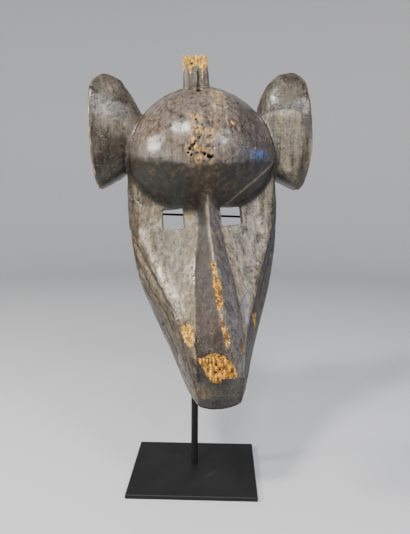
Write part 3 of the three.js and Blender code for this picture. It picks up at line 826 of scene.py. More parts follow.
# pale rubbed lines on the ball and the cheeks: route, half width, strength
streaks = [
    ([(10, 146), (8, 122), (7, 104)], 2.2, 0.7), ([(17, 150), (15, 118), (13, 92)], 2.0, 0.6),
    ([(24, 148), (22, 102), (24, 84)], 1.6, 0.6), ([(29, 90), (28, 70)], 1.3, 0.5),
    ([(36, 120), (37, 86)], 1.2, 0.35), ([(50, -50), (57, -120)], 1.2, 0.5), ([(38, -60), (46, -140)], 1.0, 0.5),
    ([(60, -44), (67, -84)], 1.4, 0.6), ([(-66, -60), (-52, -100)], 1.2, 0.4),
]
# soft round patches: x, height, how much narrower and lower than round, reach
spots = {
    "browDirt": (-8, 38, 1, 0.55, 17), "wormsLowLeft": (-26, 66, 1, 0.7, 7), "wormsLowRight": (-3, 58, 1, 1, 6),
    "earBrown": (97, 118, 1, 1, 12), "rightCheekRub": (72, -30, 0.9, 0.4, 13), "chinStain": (9, -228, 1, 0.8, 9),
    "chinTan": (-24, -232, 1, 1, 4.5), "crestChip": (-16, 180, 1.2, 0.35, 2.6), "crestHole": (-13, 185.5, 1, 1, 2.2),
    "noseFlecks": (-17, -152, 1, 0.6, 5.5), "underCorner": (-26, -196, 1, 1, 7.5),
    "noseShine": (27, -190, 1, 0.4, 12), "ballShine": (62, 62, 0.5, 1, 9), "flakeFresh": (-36, -160, 1, 1, 16),
}
# edges, cracks, crumbs and a painted shadow that follow a line: x and height along it
paintLines = {
    "ridge": [(-3, 14), (-2.5, 0), (-1.5, -20), (-0.5, -44), (0.5, -70), (3, -100), (2, -130), (6, -145), (10, -166)],
    "leftArris": [(-93, -3), (-89, -30), (-81, -65), (-70, -94), (-57, -118), (-45, -147), (-32, -186), (-23, -214)],
    "underCorner": [(-32, -192), (-28, -201), (-21, -212)],
    "crestCrumbs": [(-1, 178), (2, 168), (-3, 158), (-4, 152)],
    "crestCrack": [(-6, 175), (-5, 168), (-6, 161), (-6, 156)],
    "chinCrack": chinCrack["route"],
    "brow": browEdge,
}


# a grid's mean over a cube round each cell
def blurred(values, reach):
    width = 2 * reach + 1
    for axis, letter in enumerate("xyz"):
        padding = [(reach + 1, reach) if i == axis else (0, 0) for i in range(3)]
        sums = np.cumsum(np.pad(values, padding, mode="edge"), axis=axis, dtype=np.float32)
        values = (cropped(sums, **{letter: (width, None)}) - cropped(sums, **{letter: (None, -width)})) / width
    return values


# a value of the grid at any places, blended between its cells
def readGrid(values, places):
    cell = [np.clip((places[:, i] - carving["low"][i]) / carving["gridStep"], 0, values.shape[i] - 1.001)
            for i in range(3)]
    base = [c.astype(int) for c in cell]
    return blended(values, base, [c - b for c, b in zip(cell, base)])


# how far forward the unworn front lies at any places
def readFront(places):
    flat = np.maximum(frontMap, 0)[:, None, :]
    flat = np.concatenate([flat, flat], axis=1)
    level = places.copy()
    level[:, 1] = carving["low"][1]
    return readGrid(flat, level)


class Skin:
    # the mesh's corners and what the paint has to know about each
    def __init__(self, made, field):
        mesh = made.data
        count = len(mesh.vertices)
        places, normals = np.empty(count * 3, np.float32), np.empty(count * 3, np.float32)
        mesh.vertices.foreach_get("co", places)
        mesh.vertex_normals.foreach_get("vector", normals)
        places = toCarving(places.reshape(-1, 3).astype(float))
        normals = normals.reshape(-1, 3) @ maskTurn()
        self.x, self.p, self.z = x, p, z = places.T
        self.forward, self.upward = -normals[:, 1], normals[:, 2]
        # how much wood lies around a corner tells edges from hollows
        solid = clampUnit(0.5 - field / (2 * carving["gridStep"])).astype(np.float32)
        fineSolid, wideSolid = readGrid(blurred(solid, 2), places), readGrid(blurred(solid, 6), places)
        self.edge, self.cavity = clampUnit((0.47 - fineSolid) * 6), clampUnit((fineSolid - 0.53) * 6)
        self.valleyShade = clampUnit((wideSolid - 0.52) * 4)
        # the parts of the carving, each as a share from 0 to 1
        hollowness = ramp(np.abs(readGrid(hollowField(), places)), 4, 2)
        self.inside = inside = hollowness * clampUnit((0.5 - self.forward) * 3)
        front = readFront(places)
        self.behind = front - p
        self.onFront = ramp(self.behind, 8, 5) * (front > 0) * clampUnit((self.forward + 0.25) * 4) * (1 - inside)
        self.coarse = lumps((x, p, z), (21, 21, 27), 91) + 0.5
        self.middle = lumps((x, p, z), (8, 8, 11), 92) + 0.5
        self.fine = lumps((x, p, z), (3.1, 3.1, 4.5), 93) + 0.5
        self.tone = np.array(looks["base"])[None, :] * (0.75 + 0.5 * self.middle[:, None])
        ball = domeField(dome["radius"], dome["depth"], dome["bottom"], dome["browMiddle"])
        self.ball = ramp(np.abs(readGrid(ball, places)), 6, 3) * ramp(p, -2, 4) * (1 - inside) * (z > -16)
        self.ears = np.abs(x) > 104 - 6 * ramp(z, 60, 120)
        size = sectionAt(z)
        self.aside = np.abs(x) - size["edge"]
        self.cheek = self.onFront * clampUnit((1 - self.ball) * 1.5) * ramp(self.aside, 2, -2) * ramp(z, 46, 36)
        self.cheek = self.cheek * (~self.ears)
        self.wall = ramp(self.aside, -3, 1) * (1 - inside) * (1 - self.ball) * (~self.ears) * (z < 60)
        nose = noseAt(z)
        self.leftFoot, self.rightFoot = x - nose["leftFoot"], x - nose["rightFoot"]
        onNose = self.cheek * (self.leftFoot > -1) * (self.rightFoot < 1) * ramp(z, 22, 16)
        self.leftFlank = onNose * clampUnit((nose["ridge"] - x) / 4)
        self.rightFlank = onNose * clampUnit((x - nose["ridge"]) / 4)
        self.chin = self.cheek * (z < -206)
        self.crest = ramp(z, 150, 156) * (np.abs(x + 7) < 24)
        self.belowBrowShade = heightOn(browShadeLine, x) - z
        self.worms = insideOutline(x, z, wear["wormPatch"])
        self.cups, self.rims = np.zeros(count), np.zeros(count)
        for ear in ears:
            shell, inward = earField(ear, earShape["wall"], x, p, z, earShape["cupDepth"])
            beside = x * ear["side"] > 100
            self.cups = np.maximum(self.cups, beside * ramp(np.abs(shell), 4, 2) * ramp(inward, -1, 1))
            self.rims = np.maximum(self.rims, beside * near(inward - 1, 3.5) * (1 - self.cups))
        # painted highlight: pale tone along the left arris and on the right cheek, which are also made glossy
        self.rubbed = near(self.aside + 6.5, 5) * ramp(z, -18, -30) * ramp(z, -150, -110) * (x < 0)
        self.rubbed = np.maximum(self.rubbed, self.spot("rightCheekRub") * (x > 0))
        self.shine = self.line("ridge", 1.1) * self.onFront

    # a look laid over what is there, as strongly as its share
    def lay(self, name, share):
        share = clampUnit(share)[:, None]
        self.tone = self.tone * (1 - share) + np.array(looks[name])[None, :] * share

    def spot(self, name):
        x, z, narrow, low, reach = spots[name]
        return near(np.hypot((self.x - x) * narrow, (self.z - z) * low), reach)

    def line(self, name, reach):
        return near(lineDistance(self.x, self.z, paintLines[name]), reach)


def paintFace(skin):
    x, z, lay, cheek = skin.x, skin.z, skin.lay, skin.cheek
    lay("cheekDark", cheek)
    # painted shade: the cheek keeps its darker tone in valleys
    lay("cheek", cheek * clampUnit(0.25 + 1.1 * skin.middle + 0.5 * (skin.fine - 0.5) - 0.5 * skin.valleyShade))
    # painted light: the right cheek lightened towards its outer edge
    lay("cheekLight", cheek * (x > 20) * clampUnit(0.1 + skin.middle) * clampUnit(-skin.aside / 12))
    besideNose = near(skin.leftFoot + 9, 12) * (z > -170) * 0.55 + near(skin.rightFoot - 8, 9) * 0.5
    lay("olive", cheek * besideNose * (0.4 + skin.fine))
    lay("noseLeft", skin.leftFlank * clampUnit(0.72 + 0.5 * skin.middle) * (z > -206))
    lay("noseRight", skin.rightFlank * 0.85 * (z > -206))
    lay("worn", skin.leftFlank * near(z + 150, 40) * 0.35 * skin.middle)
    lay("chin", skin.chin * 0.9)
    lay("wall", skin.wall)
    # pale patches on the side walls, much weaker on the right wall, which is painted darker as shaded
    lay("wallLight", skin.wall * clampUnit((skin.middle - 0.42) * 2.6) * (0.6 - 0.5 * (x > 0)))
    lay("worn", skin.wall * skin.cavity * 0.6)


def paintBall(skin):
    x, z, lay, ball, fine = skin.x, skin.z, skin.lay, skin.ball, skin.fine
    onBall = ball * skin.onFront
    lay("domeTop", ball)
    lay("domeWarm", ball * clampUnit((skin.coarse - 0.35) * 1.8) * 0.7)
    # painted shade: the ball's right side darkened
    lay("domeSide", ball * ramp(x, 16, 46) * 0.9)
    # painted shade: the ball darkened below the brow line, where it turns down
    lay("domeUnder", ball * clampUnit(0.5 + (skin.belowBrowShade + 9 * (skin.middle - 0.5) + 6 * (fine - 0.5)) / 7))
    # painted shade: a band under the brow's sharp edge on the right, down to the cheek
    below = heightOn(browEdge, x) - z
    band = ramp(below, 0, 2) * ramp(below, 19, 14) * ramp(x, 26, 36)
    lay("domeUnder", skin.onFront * (~skin.ears) * band * 0.9)
    lay("tan", ball * skin.spot("browDirt") * clampUnit(0.2 + 1.2 * (fine - 0.35)) * 0.35)
    # crumbs round the worm patch, and painted shade in its holes
    lay("tan", onBall * ramp(skin.worms, -7, 1) * clampUnit(0.35 + 1.6 * (fine - 0.4)) * 0.8)
    lay("black", onBall * ramp(skin.worms, -4, 0) * clampUnit((0.44 - fine) * 7) * 0.8)
    lowWorms = clampUnit(skin.spot("wormsLowLeft") + skin.spot("wormsLowRight"))
    lay("black", onBall * lowWorms * clampUnit((0.62 - fine) * 6) * 0.85)
    lay("tan", skin.onFront * ramp(insideOutline(x, z, wear["tanPatch"]), -1.5, 1.5) * (0.45 + 0.5 * fine))
    for route, half, strength in streaks:
        rubbedLine = near(lineDistance(x, z, route) + 1.5 * (fine - 0.5), half)
        lay("edgeLight", skin.onFront * rubbedLine * strength * (0.4 + skin.middle))


def paintEarsAndCrest(skin):
    x, z, lay, onEars, fine = skin.x, skin.z, skin.lay, skin.ears, skin.fine
    lay("ear", onEars * (1 - skin.inside))
    lay("earLight", onEars * clampUnit((skin.coarse - 0.5) * 2.4) * 0.6)
    # painted light: the right ear's cut face lightened
    lay("earLight", onEars * ramp(insideOutline(x, z, earLitFacet), -3, 5) * 0.85 * (skin.forward > 0))
    lay("tan", onEars * skin.spot("earBrown") * 0.3 * clampUnit((fine - 0.4) * 4))
    lay("cup", skin.cups)
    lay("edgeLight", skin.rims * skin.edge * 0.8 * (0.3 + fine))
    lay("crest", skin.crest)
    lay("noseLeft", skin.crest * clampUnit(lumps((x, skin.p, z), (3, 3, 22), 97) * 3) * 0.6)
    lay("inside", skin.inside)


# edges, grooves, eye holes and stains, with painted shade and highlights, over all the rest
def paintLast(skin):
    x, p, z, lay, onFront, fine, middle = skin.x, skin.p, skin.z, skin.lay, skin.onFront, skin.fine, skin.middle
    lay("worn", skin.line("leftArris", 1.8) * (1 - skin.inside) * (p > 5) * 0.6)
    # the nose's ridge: worn pale wood with a painted highlight along it
    lay("edgeLight", skin.shine * clampUnit(0.3 + 1.2 * fine) * 0.75)
    # convex edges lightened: partly wear, partly painted highlight
    lay("edgeLight", skin.edge * (1 - skin.inside) * 0.4 * clampUnit(middle * 1.4) * (~skin.ears))
    # painted shade in each side-wall groove and a painted highlight on the ridge beside it, stronger on the left
    for side, routes, ridgeHighlightShare in ((-1, leftGrooves, 0.85), (1, rightGrooves, 0.35)):
        for route in routes:
            away = lineDistance(p, z, route) + 1.2 * (middle - 0.5)
            lay("noseLeft", skin.wall * (x * side > 0) * near(away, 1.3) * 0.95)
            lay("wallLight", skin.wall * (x * side > 0) * near(away - 3.2, 1.2) * ridgeHighlightShare)
    # painted highlight: a light line along the brow's sharp edge
    lay("edgeLight", skin.line("brow", 1.3) * onFront * 0.55)
    # painted shade: the chin's underside below the lip darkened
    lay("noseLeft", onFront * ramp(z, -238, -239.5) * 0.9)
    # painted shade: the eye holes' inner walls darkened
    eyeWallShade = 0
    for eye in eyes:
        eyeWallShade = np.maximum(eyeWallShade, near(eyeField(eye, x, p, z), 2.2) * ramp(skin.behind, 1, 3))
    lay("black", clampUnit(eyeWallShade * 1.5) * (np.abs(skin.forward) < 0.5) * (~skin.ears))
    # painted highlight near the left arris and on the right cheek
    lay("rubbed", skin.cheek * skin.rubbed * clampUnit((middle - 0.2) * 2.6) * 0.95)
    # painted shade under the step beneath the nose
    stepShade = clampUnit((np.interp(x, stepLine["x"], stepLine["z"]) - z) / 2) * ramp(z, -222, -216)
    lay("noseLeft", skin.chin * stepShade * 0.7)
    # painted shadow in the undercut beneath the nose's left corner
    lay("black", onFront * skin.line("underCorner", 3.2) * 0.85)
    lay("noseLeft", skin.chin * skin.spot("chinStain") * 0.7)
    lay("tan", onFront * skin.spot("chinTan") * clampUnit((fine - 0.3) * 2) * 0.6)
    lay("tan", skin.ball * clampUnit(skin.belowBrowShade / 3) * clampUnit((fine - 0.66) * 8) * 0.16)
    # painted shade: darker in hollows and wide valleys
    skin.tone = skin.tone * (1 - 0.5 * skin.cavity[:, None]) * (1 - 0.35 * skin.valleyShade[:, None])


# where the dark skin is gone and raw wood shows
def rawShare(skin):
    x, z, onFront, fine = skin.x, skin.z, skin.onFront, skin.fine
    shares = [skin.crest * clampUnit((z - 180 + 9 * lumps((x, 0 * x, z), (4, 4, 9), 94)) / 3)]
    shares.append(skin.spot("crestChip") * onFront)
    for name in ("noseEnd", *flakeDepths):
        inside = insideOutline(x, z, wear[name]) + 2.2 * (fine - 0.5)
        shares.append(onFront * ramp(inside, -2.8, 3.2))
    inWorms = onFront * clampUnit((skin.worms + 1.5 * (fine - 0.5)) / 2)
    shares.append(inWorms * clampUnit(0.2 + (fine - 0.3) * 1.9) * 0.5)
    shares.append(skin.line("crestCrumbs", 4.5) * onFront * clampUnit((fine - 0.35) * 3) * 0.62)
    for sx, sz, reach in specks:
        shares.append(onFront * near(np.hypot(x - sx, z - sz) + 0.8 * (fine - 0.5), reach) * 0.8)
    shares.append(0.45 * skin.rims * (x < 0) * clampUnit((skin.middle - 0.55) * 5))
    shares.append(skin.spot("noseFlecks") * onFront * 0.5 * clampUnit((fine - 0.3) * 2.5))
    return np.maximum.reduce(shares)


# holes and cracks, painted near black as shade
def sunkShadeShare(skin):
    x, p, z, onFront = skin.x, skin.p, skin.z, skin.onFront
    wormy = np.maximum(skin.worms, insideOutline(x, z, wear["noseEnd"])) > -4
    inBand = clampUnit(2.2 - np.hypot(x - bandHole["x"], z - bandHole["height"]) / 2.2) * (z > 144)
    inFlightHole = near(np.hypot(z + 154, p - 35), 2.4) * (x < -52)
    return np.maximum.reduce([
        onFront * ramp(skin.behind, 0.7, 3.7) * wormy, clampUnit(inBand + inFlightHole),
        skin.line("crestCrack", 1.6) * onFront, skin.spot("crestHole") * onFront,
        0.45 * skin.line("chinCrack", 1.1) * onFront,
        skin.spot("underCorner") * onFront * clampUnit(skin.behind / 2)])


def glossShare(skin):
    x, z, ball, cheek, coarse = skin.x, skin.z, skin.ball, skin.cheek, skin.coarse
    gloss = clampUnit(0.35 + 0.9 * (coarse - 0.4)) * (1 - skin.cavity) * (1 - skin.inside) * (1 - skin.cups)
    gloss = np.maximum(gloss, ball * clampUnit(skin.upward * 2 + 0.5) * clampUnit(0.7 + 0.9 * (coarse - 0.3)))
    gloss = np.maximum(gloss, 0.65 * skin.ears * (1 - skin.cups))
    # dull under the brow, on the nose's left, the right wall and the chin
    gloss = gloss * (1 - 0.95 * ball * ramp(skin.belowBrowShade, -2, 2)) * (1 - 0.8 * skin.leftFlank)
    gloss = gloss * (1 - 0.8 * skin.wall * (x > 0)) * (1 - 0.6 * skin.chin)
    gloss = gloss * (1 - 0.7 * skin.rightFlank * ramp(z, -150, -120))
    # polished where it was handled
    polished = [cheek * clampUnit(1.1 - np.minimum(np.abs(skin.aside), 40) / 34), cheek * skin.rubbed,
                ball * skin.spot("ballShine"), skin.rightFlank * skin.spot("noseShine"),
                clampUnit(skin.shine + skin.edge * 0.6)]
    gloss = np.maximum.reduce([gloss, *polished]) * (1 - 0.8 * skin.inside)
    return gloss * (1 - 0.85 * clampUnit(skin.worms / 4 + 1) * ball * skin.onFront)


def paintMask(made, field):
    skin = Skin(made, field)
    paintFace(skin)
    paintBall(skin)
    paintEarsAndCrest(skin)
    paintLast(skin)
    fresh = np.maximum(skin.crest, skin.spot("flakeFresh") * 0.8)
    shares = {"raw": rawShare(skin), "sunkShade": sunkShadeShare(skin), "gloss": glossShare(skin), "fresh": fresh}
    for name, values in shares.items():
        layer = made.data.attributes.new(name, "FLOAT", "POINT")
        layer.data.foreach_set("value", np.asarray(clampUnit(values), np.float32))
    layer = made.data.attributes.new("tone", "FLOAT_COLOR", "POINT")
    colours = np.concatenate([skin.tone, np.ones((len(skin.tone), 1))], 1)
    layer.data.foreach_set("color", colours.astype(np.float32).ravel())


maskField = carveMask()
frontMap = frontDepths(maskField)
wearMask(maskField)
print("pinched cells left:", fillPinches(maskField))
corners, faces = skinField(maskField)
print("mask carved:", len(corners), "corners")
mask = meshObject("hyena_mask", toScene(corners), faces)
thin = mask.modifiers.new("thin", "DECIMATE")
thin.ratio = min(1.0, carving["keptQuads"] / len(faces))
bakeModifiers(mask)
mask.data.polygons.foreach_set("use_smooth", np.ones(len(mask.data.polygons), bool))
print("mask thinned:", len(mask.data.polygons), "faces")
paintMask(mask, maskField)
print("mask painted:", len(mask.data.vertices), "corners")
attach(mask, "root")
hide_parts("mask")


# shader maths written as plain expressions

class Wire:
    # one output socket of a node tree, with the usual signs working on it
    def __init__(self, tree, socket):
        self.tree, self.socket = tree, socket

    def maths(self, operation, *values, clamp=False):
        made = self.tree.nodes.new("ShaderNodeMath")
        made.operation, made.use_clamp = operation, clamp
        for place, value in zip(made.inputs, values):
            joinTo(self.tree, place, value)
        return Wire(self.tree, made.outputs[0])

    def __add__(self, other): return self.maths("ADD", self, other)
    def __radd__(self, other): return self.maths("ADD", other, self)
    def __sub__(self, other): return self.maths("SUBTRACT", self, other)
    def __rsub__(self, other): return self.maths("SUBTRACT", other, self)
    def __mul__(self, other): return self.maths("MULTIPLY", self, other)
    def __rmul__(self, other): return self.maths("MULTIPLY", other, self)
    def clipped(self): return self.maths("ADD", self, 0.0, clamp=True)
    def highest(self, other): return self.maths("MAXIMUM", self, other)

    # 0 below low, 1 above high, eased in between
    def step(self, low, high):
        return makeNode(self.tree, "ShaderNodeMapRange", {"interpolation_type": "SMOOTHSTEP"},
                        Value=self, FromMin=low, FromMax=high)


def joinTo(tree, place, value):
    if isinstance(value, Wire):
        tree.links.new(value.socket, place)
    elif place.type == "RGBA" and len(value) == 3:
        place.default_value = (*value, 1)
    else:
        place.default_value = value


# any other node: its type, its settings, and the values or links of its sockets by name;
# out among the settings names the output that is wanted
def makeNode(tree, kind, settings=None, **inputs):
    made = tree.nodes.new(kind)
    settings = dict(settings or {})
    wanted = settings.pop("out", None)
    for name, value in settings.items():
        setattr(made, name, value)
    for name, value in inputs.items():
        place = next(s for s in made.inputs if s.enabled and s.name.replace(" ", "") == name)
        joinTo(tree, place, value)
    output = made.outputs[wanted] if wanted else next(s for s in made.outputs if s.enabled)
    return Wire(tree, output)


class Surface:
    # a material being written: its tree, its places and its shader
    def __init__(self, name):
        self.material = bpy.data.materials.new(name)
        self.material.use_nodes = True
        self.tree = self.material.node_tree
        self.shader = self.tree.nodes["Principled BSDF"]
        self.places = makeNode(self.tree, "ShaderNodeTexCoord", {"out": "Object"})

    def node(self, kind, settings=None, **inputs):
        return makeNode(self.tree, kind, settings, **inputs)

    def stretched(self, scale, turn=(0, 0, 0)):
        return self.node("ShaderNodeMapping", Vector=self.places, Rotation=turn, Scale=scale)

    def noise(self, places, scale, detail=4.0, roughness=0.55, distortion=0.0):
        return self.node("ShaderNodeTexNoise", {"out": "Fac"}, Vector=places, Scale=scale, Detail=detail,
                         Roughness=roughness, Distortion=distortion)

    def attribute(self, name, out="Fac"):
        return self.node("ShaderNodeAttribute", {"attribute_name": name, "out": out})

    def mix(self, share, first, second, blend="MIX"):
        return self.node("ShaderNodeMix", {"data_type": "RGBA", "blend_type": blend, "clamp_factor": True,
                                           "out": "Result"}, Factor=share, A=first, B=second)

    def bump(self, height, strength, distance):
        return self.node("ShaderNodeBump", Height=height, Strength=strength, Distance=distance)

    def give(self, **inputs):
        for name, value in inputs.items():
            place = next(s for s in self.shader.inputs if s.name.replace(" ", "") == name)
            joinTo(self.tree, place, value)
        return self.material


# the mask's wood: a dark worn skin over pale raw wood

wood = {"raw": (0.38, 0.155, 0.006), "rawPale": (0.82, 0.42, 0.045), "rawDeep": (0.060, 0.021, 0.003),
        "rawFresh": (0.95, 0.60, 0.15), "sunkShade": (0.007, 0.005, 0.003), "dust": (0.19, 0.17, 0.13),
        "stain": (0.009, 0.007, 0.005), "rough": 0.46, "polished": 0.17, "roughBare": 0.85, "specular": 0.42,
        "bump": 0.6, "bumpDepth": 0.0013, "grainTurn": (5, 2, -9)}


def maskWood():
    surface = Surface("maskWood")
    tone = surface.attribute("tone", "Color")
    raw, sunkShade, gloss, fresh = (surface.attribute(name) for name in ("raw", "sunkShade", "gloss", "fresh"))
    along = tuple(math.radians(turn) for turn in wood["grainTurn"])
    grain = surface.noise(surface.stretched((1, 1, 0.06), along), 520, 5, 0.68)
    pores = surface.noise(surface.stretched((1, 1, 0.12), along), 1000, 3, 0.6)
    streak = surface.noise(surface.stretched((1, 1, 0.1), along), 170, 4, 0.62)
    mottle = surface.noise(surface.places, 170, 7, 0.7)
    fine = surface.noise(surface.places, 620, 5, 0.72)
    cloud = surface.noise(surface.places, 32, 4, 0.55, 0.6)
    # skin colour: the painted tone, clouded, speckled and streaked along the grain
    value = (mottle - 0.5) * 3.0 + (fine - 0.5) * 2.2 + (grain - 0.5) * 2.4 + (streak - 0.5) * 2.6
    value = ((1 + value) * (0.62 + 0.76 * cloud)).highest(0.12)
    strength = surface.node("ShaderNodeCombineColor", Red=value, Green=value, Blue=value)
    skin = surface.mix(1.0, tone, strength, "MULTIPLY")
    skin = surface.mix((fine * 0.5 + mottle * 0.5 - 0.5).step(0.04, 0.16) * 0.4, skin, wood["dust"])
    skin = surface.mix((0.5 - fine * 0.5 - mottle * 0.5).step(0.03, 0.13) * 0.6, skin, wood["stain"])
    scratch = (pores - 0.5).step(0.09, 0.17)
    skin = surface.mix(scratch * 0.5, skin, wood["stain"])
    # raw wood shows where the skin is gone, darker along the grain, with painted shade in its holes
    ragged = raw + (fine - 0.5) * 0.9 + (mottle - 0.5) * 0.6 + (grain - 0.5) * 0.9
    bare = ragged.step(0.44, 0.54)
    rawColour = surface.mix((grain - 0.5).step(-0.08, 0.12), wood["raw"], wood["rawPale"])
    crumbs = (0.5 - mottle * 0.4 - fine * 0.35 - grain * 0.25).step(-0.035, 0.035)
    rawColour = surface.mix(fresh * 0.5, rawColour, wood["rawFresh"])
    rawColour = surface.mix((crumbs * (0.95 - fresh * 0.25)).clipped(), rawColour, wood["rawDeep"])
    colour = surface.mix(bare, skin, rawColour)
    # painted shade: holes and cracks darkened near black
    deep = (sunkShade + (fine - 0.5) * 0.5 + (mottle - 0.5) * 0.4).step(0.3, 0.75)
    colour = surface.mix(deep, colour, wood["sunkShade"])
    shine = (gloss + (cloud - 0.5) * 0.6 + (mottle - 0.5) * 1.2).step(0.0, 0.75)
    rough = wood["rough"] - (wood["rough"] - wood["polished"]) * shine
    rough = rough + (fine - 0.5) * 0.2 + (grain - 0.5) * 0.15
    rough = rough + (wood["roughBare"] - rough) * bare.highest(deep)
    relief = (grain * 0.6 + fine * 0.5 + mottle * 1.3 + streak * 0.5 - scratch * 0.4) * (1 - shine * 0.72)
    height = relief - bare * (0.3 + 1.5 * crumbs)
    normal = surface.bump(height, wood["bump"], wood["bumpDepth"])
    return surface.give(BaseColor=colour, Roughness=rough.clipped(), Normal=normal,
                        SpecularIORLevel=wood["specular"])


# the stand: matte black paint, a little scuffed

# scratches: x, y, turn and half length, on the plate right of the rod
paint = {"colour": (0.0042, 0.0042, 0.0044), "worn": (0.065, 0.065, 0.062), "rough": 0.58, "specular": 0.28,
         "bump": 0.25, "bumpDepth": 0.0003,
         "scratches": [(0.023, -0.034, -0.55, 0.009), (0.029, -0.028, -0.62, 0.005)]}


def standPaint():
    surface = Surface("standPaint")
    speckle = surface.noise(surface.places, 900, 3, 0.6)
    cloud = surface.noise(surface.places, 14, 5, 0.6, 0.6)
    scuff = surface.noise(surface.stretched((1, 7, 1), (0, 0, 0.5)), 60, 5, 0.75)
    worn = (scuff - 0.5).step(0.14, 0.24) * cloud.step(0.45, 0.7)
    east = surface.node("ShaderNodeSeparateXYZ", {"out": "X"}, Vector=surface.places)
    north = surface.node("ShaderNodeSeparateXYZ", {"out": "Y"}, Vector=surface.places)
    for x, y, turn, half in paint["scratches"]:
        across = (east - x) * math.cos(turn) + (north - y) * math.sin(turn)
        along = (north - y) * math.cos(turn) - (east - x) * math.sin(turn)
        line = (1 - (across * across).step(1e-7, 5e-7)) * (1 - (along * along).step(half * half * 0.4, half * half))
        worn = worn.highest(line * (speckle * 2 - 0.3).clipped())
    dust = (cloud * 0.7 + speckle * 0.3).step(0.4, 0.75) * 0.12
    colour = surface.mix(worn * 0.55 + dust, paint["colour"], paint["worn"])
    rough = paint["rough"] + (cloud - 0.5) * 0.25 + (speckle - 0.5) * 0.15 + worn * 0.1
    normal = surface.bump(speckle + worn * 0.4, paint["bump"], paint["bumpDepth"])
    return surface.give(BaseColor=colour, Roughness=rough.clipped(), Normal=normal,
                        SpecularIORLevel=paint["specular"])


def dress(piece, material):
    piece.data.materials.clear()
    piece.data.materials.append(material)


dress(mask, maskWood())
blackPaint = standPaint()
for piece in bpy.data.objects:
    if piece.name in ("base_plate", "upright_rod"):
        dress(piece, blackPaint)
        print("painted black:", piece.name)


# the wire crossbar, a round section swept along its bent route

wire = {"radius": 1.5, "halfSpan": 62, "hook": 12, "bend": 5, "height": 369.5, "offset": 9, "behind": 6.8,
        "slope": 1.9, "sides": 20, "bendSteps": 8, "joinWithin": 0.00001}


def wireRoute():
    span, bend = wire["halfSpan"], wire["bend"]
    half = [(span, wire["hook"]), (span, (wire["hook"] + bend) / 2)]
    for i in range(wire["bendSteps"] + 1):
        t = i / wire["bendSteps"]
        half.append((span - bend * t * t, bend * (1 - t) ** 2))
    half += [(span * share, 0) for share in (0.7, 0.45, 0.2)]
    route = half + [(-x, z) for x, z in half[::-1]]
    facing, slope = math.radians(hang["turn"]), math.radians(wire["slope"])
    turn = Matrix.Rotation(facing, 3, "Z") @ Matrix.Rotation(slope, 3, "Y")
    middle = Vector((wire["offset"] * math.cos(facing) - wire["behind"] * math.sin(facing),
                     wire["offset"] * math.sin(facing) + wire["behind"] * math.cos(facing), wire["height"]))
    return [(turn @ Vector((x, 0, z)) + middle) * mm for x, z in route]


# nodes: the route's edges become a curve, and a circle is swept along it with closed ends
def wireTree():
    tree = bpy.data.node_groups.new("sweptWire", "GeometryNodeTree")
    for name, kind in (("Route", "NodeSocketGeometry"), ("Radius", "NodeSocketFloat"), ("Sides", "NodeSocketInt"),
                       ("Paint", "NodeSocketMaterial")):
        tree.interface.new_socket(name, in_out="INPUT", socket_type=kind)
    tree.interface.new_socket("Wire", in_out="OUTPUT", socket_type="NodeSocketGeometry")
    given, made = tree.nodes.new("NodeGroupInput"), tree.nodes.new("NodeGroupOutput")
    toCurve, circle, sweep, smooth, real, colour = (tree.nodes.new("GeometryNode" + kind) for kind in (
        "MeshToCurve", "CurvePrimitiveCircle", "CurveToMesh", "SetShadeSmooth", "RealizeInstances", "SetMaterial"))
    sweep.inputs["Fill Caps"].default_value = True
    for start, output, end, socket in (
            (given, "Route", toCurve, "Mesh"), (given, "Radius", circle, "Radius"),
            (given, "Sides", circle, "Resolution"), (toCurve, 0, sweep, "Curve"),
            (circle, 0, sweep, "Profile Curve"), (sweep, 0, smooth, 0), (smooth, 0, real, 0),
            (real, 0, colour, "Geometry"), (given, "Paint", colour, "Material"), (colour, 0, made, 0)):
        tree.links.new(start.outputs[output], end.inputs[socket])
    return tree


def makeWire():
    mesh = bpy.data.meshes.new("wire_crossbar")
    route = wireRoute()
    mesh.from_pydata(route, [(i, i + 1) for i in range(len(route) - 1)], [])
    made = bpy.data.objects.new("wire_crossbar", mesh)
    scene.collection.objects.link(made)
    swept = made.modifiers.new("swept", "NODES")
    swept.node_group = wireTree()
    sockets = {item.name: item.identifier for item in swept.node_group.interface.items_tree
               if item.in_out == "INPUT"}
    for name, value in (("Radius", wire["radius"] * mm), ("Sides", wire["sides"]), ("Paint", blackPaint)):
        swept[sockets[name]] = value
    bakeModifiers(made)
    # the caps share the swept corners once they are joined
    joined = bmesh.new()
    joined.from_mesh(made.data)
    bmesh.ops.remove_doubles(joined, verts=joined.verts, dist=wire["joinWithin"])
    bmesh.ops.recalc_face_normals(joined, faces=joined.faces)
    joined.to_mesh(made.data)
    joined.free()
    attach(made, "root")
    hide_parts("crossbar")
    return made


crossbarWire = makeWire()
print("crossbar swept:", len(crossbarWire.data.polygons), "faces")


# floor and light

stage = {"flat": 1.7, "bend": 0.7, "top": 3.4, "sides": 96, "bendSteps": 12, "colour": (0.50, 0.515, 0.54),
         "rough": 0.7}


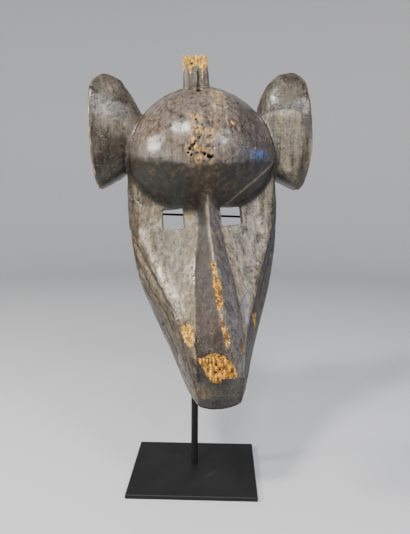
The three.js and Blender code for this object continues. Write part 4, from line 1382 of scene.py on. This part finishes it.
# a round pale floor that curves up into a plain wall, the same from every side
def makeStage():
    profile = [(stage["flat"] * share, 0.0) for share in (0.2, 0.5, 1)]
    for i in range(1, stage["bendSteps"] + 1):
        angle = i / stage["bendSteps"] * math.pi / 2
        profile.append((stage["flat"] + stage["bend"] * math.sin(angle), stage["bend"] * (1 - math.cos(angle))))
    profile.append((stage["flat"] + stage["bend"], stage["top"]))
    sides = stage["sides"]
    places = [(0, 0, 0)]
    faces = [(0, 1 + i, 1 + (i + 1) % sides) for i in range(sides)]
    for radius, height in profile:
        places += [(radius * math.cos(i / sides * math.tau), radius * math.sin(i / sides * math.tau), height)
                   for i in range(sides)]
    for ring in range(len(profile) - 1):
        a, b = 1 + ring * sides, 1 + (ring + 1) * sides
        faces += [(a + i, b + i, b + (i + 1) % sides, a + (i + 1) % sides) for i in range(sides)]
    mesh = bpy.data.meshes.new("floor")
    mesh.from_pydata(places, [], faces)
    mesh.polygons.foreach_set("use_smooth", [True] * len(faces))
    floor = bpy.data.objects.new("floor", mesh)
    scene.collection.objects.link(floor)
    dress(floor, Surface("plainFloor").give(BaseColor=stage["colour"], Roughness=stage["rough"]))


makeStage()

lamps = [
    {"name": "spotUpper", "place": (-0.56, -0.88, 1.62), "size": (0.2, 0.2), "power": 32, "colour": (1, 0.95, 0.88)},
    {"name": "spotLeft", "place": (-1.42, -0.38, 0.98), "size": (0.26, 0.26), "power": 26, "colour": (1, 0.96, 0.9)},
    {"name": "frontSoft", "place": (0.15, -1.35, 1.45), "size": (0.5, 0.5), "power": 22, "colour": (1, 0.95, 0.9)},
    {"name": "fillRight", "place": (0.9, -1.0, 1.35), "size": (0.3, 0.3), "power": 14, "colour": (1, 0.96, 0.91)},
    {"name": "overhead", "place": (0.1, 0.1, 1.9), "size": (1.6, 1.6), "power": 7, "colour": (1, 0.98, 0.95)},
    {"name": "windowRight", "place": (1.4, 0.13, 0.6), "size": (0.8, 0.05), "power": 3.6, "colour": (0.06, 0.3, 1)},
]


room = {"aim": (0.01, 0, 0.36), "colour": (0.75, 0.8, 0.88, 1), "strength": 0.13}


def makeLights():
    target = Vector(room["aim"])
    for lamp in lamps:
        data = bpy.data.lights.new(lamp["name"], "AREA")
        data.shape = "RECTANGLE"
        data.size, data.size_y = lamp["size"]
        data.energy = lamp["power"]
        data.color = lamp["colour"]
        light = bpy.data.objects.new(lamp["name"], data)
        light.visible_camera = False
        place = Vector(lamp["place"])
        turn = (target - place).to_track_quat("-Z", "Y").to_matrix().to_4x4()
        light.matrix_world = Matrix.Translation(place) @ turn
        scene.collection.objects.link(light)
    world = bpy.data.worlds.new("softRoom")
    world.use_nodes = True
    background = world.node_tree.nodes["Background"]
    background.inputs["Color"].default_value = room["colour"]
    background.inputs["Strength"].default_value = room["strength"]
    scene.world = world


makeLights()
print("lamps placed:", len(lamps))
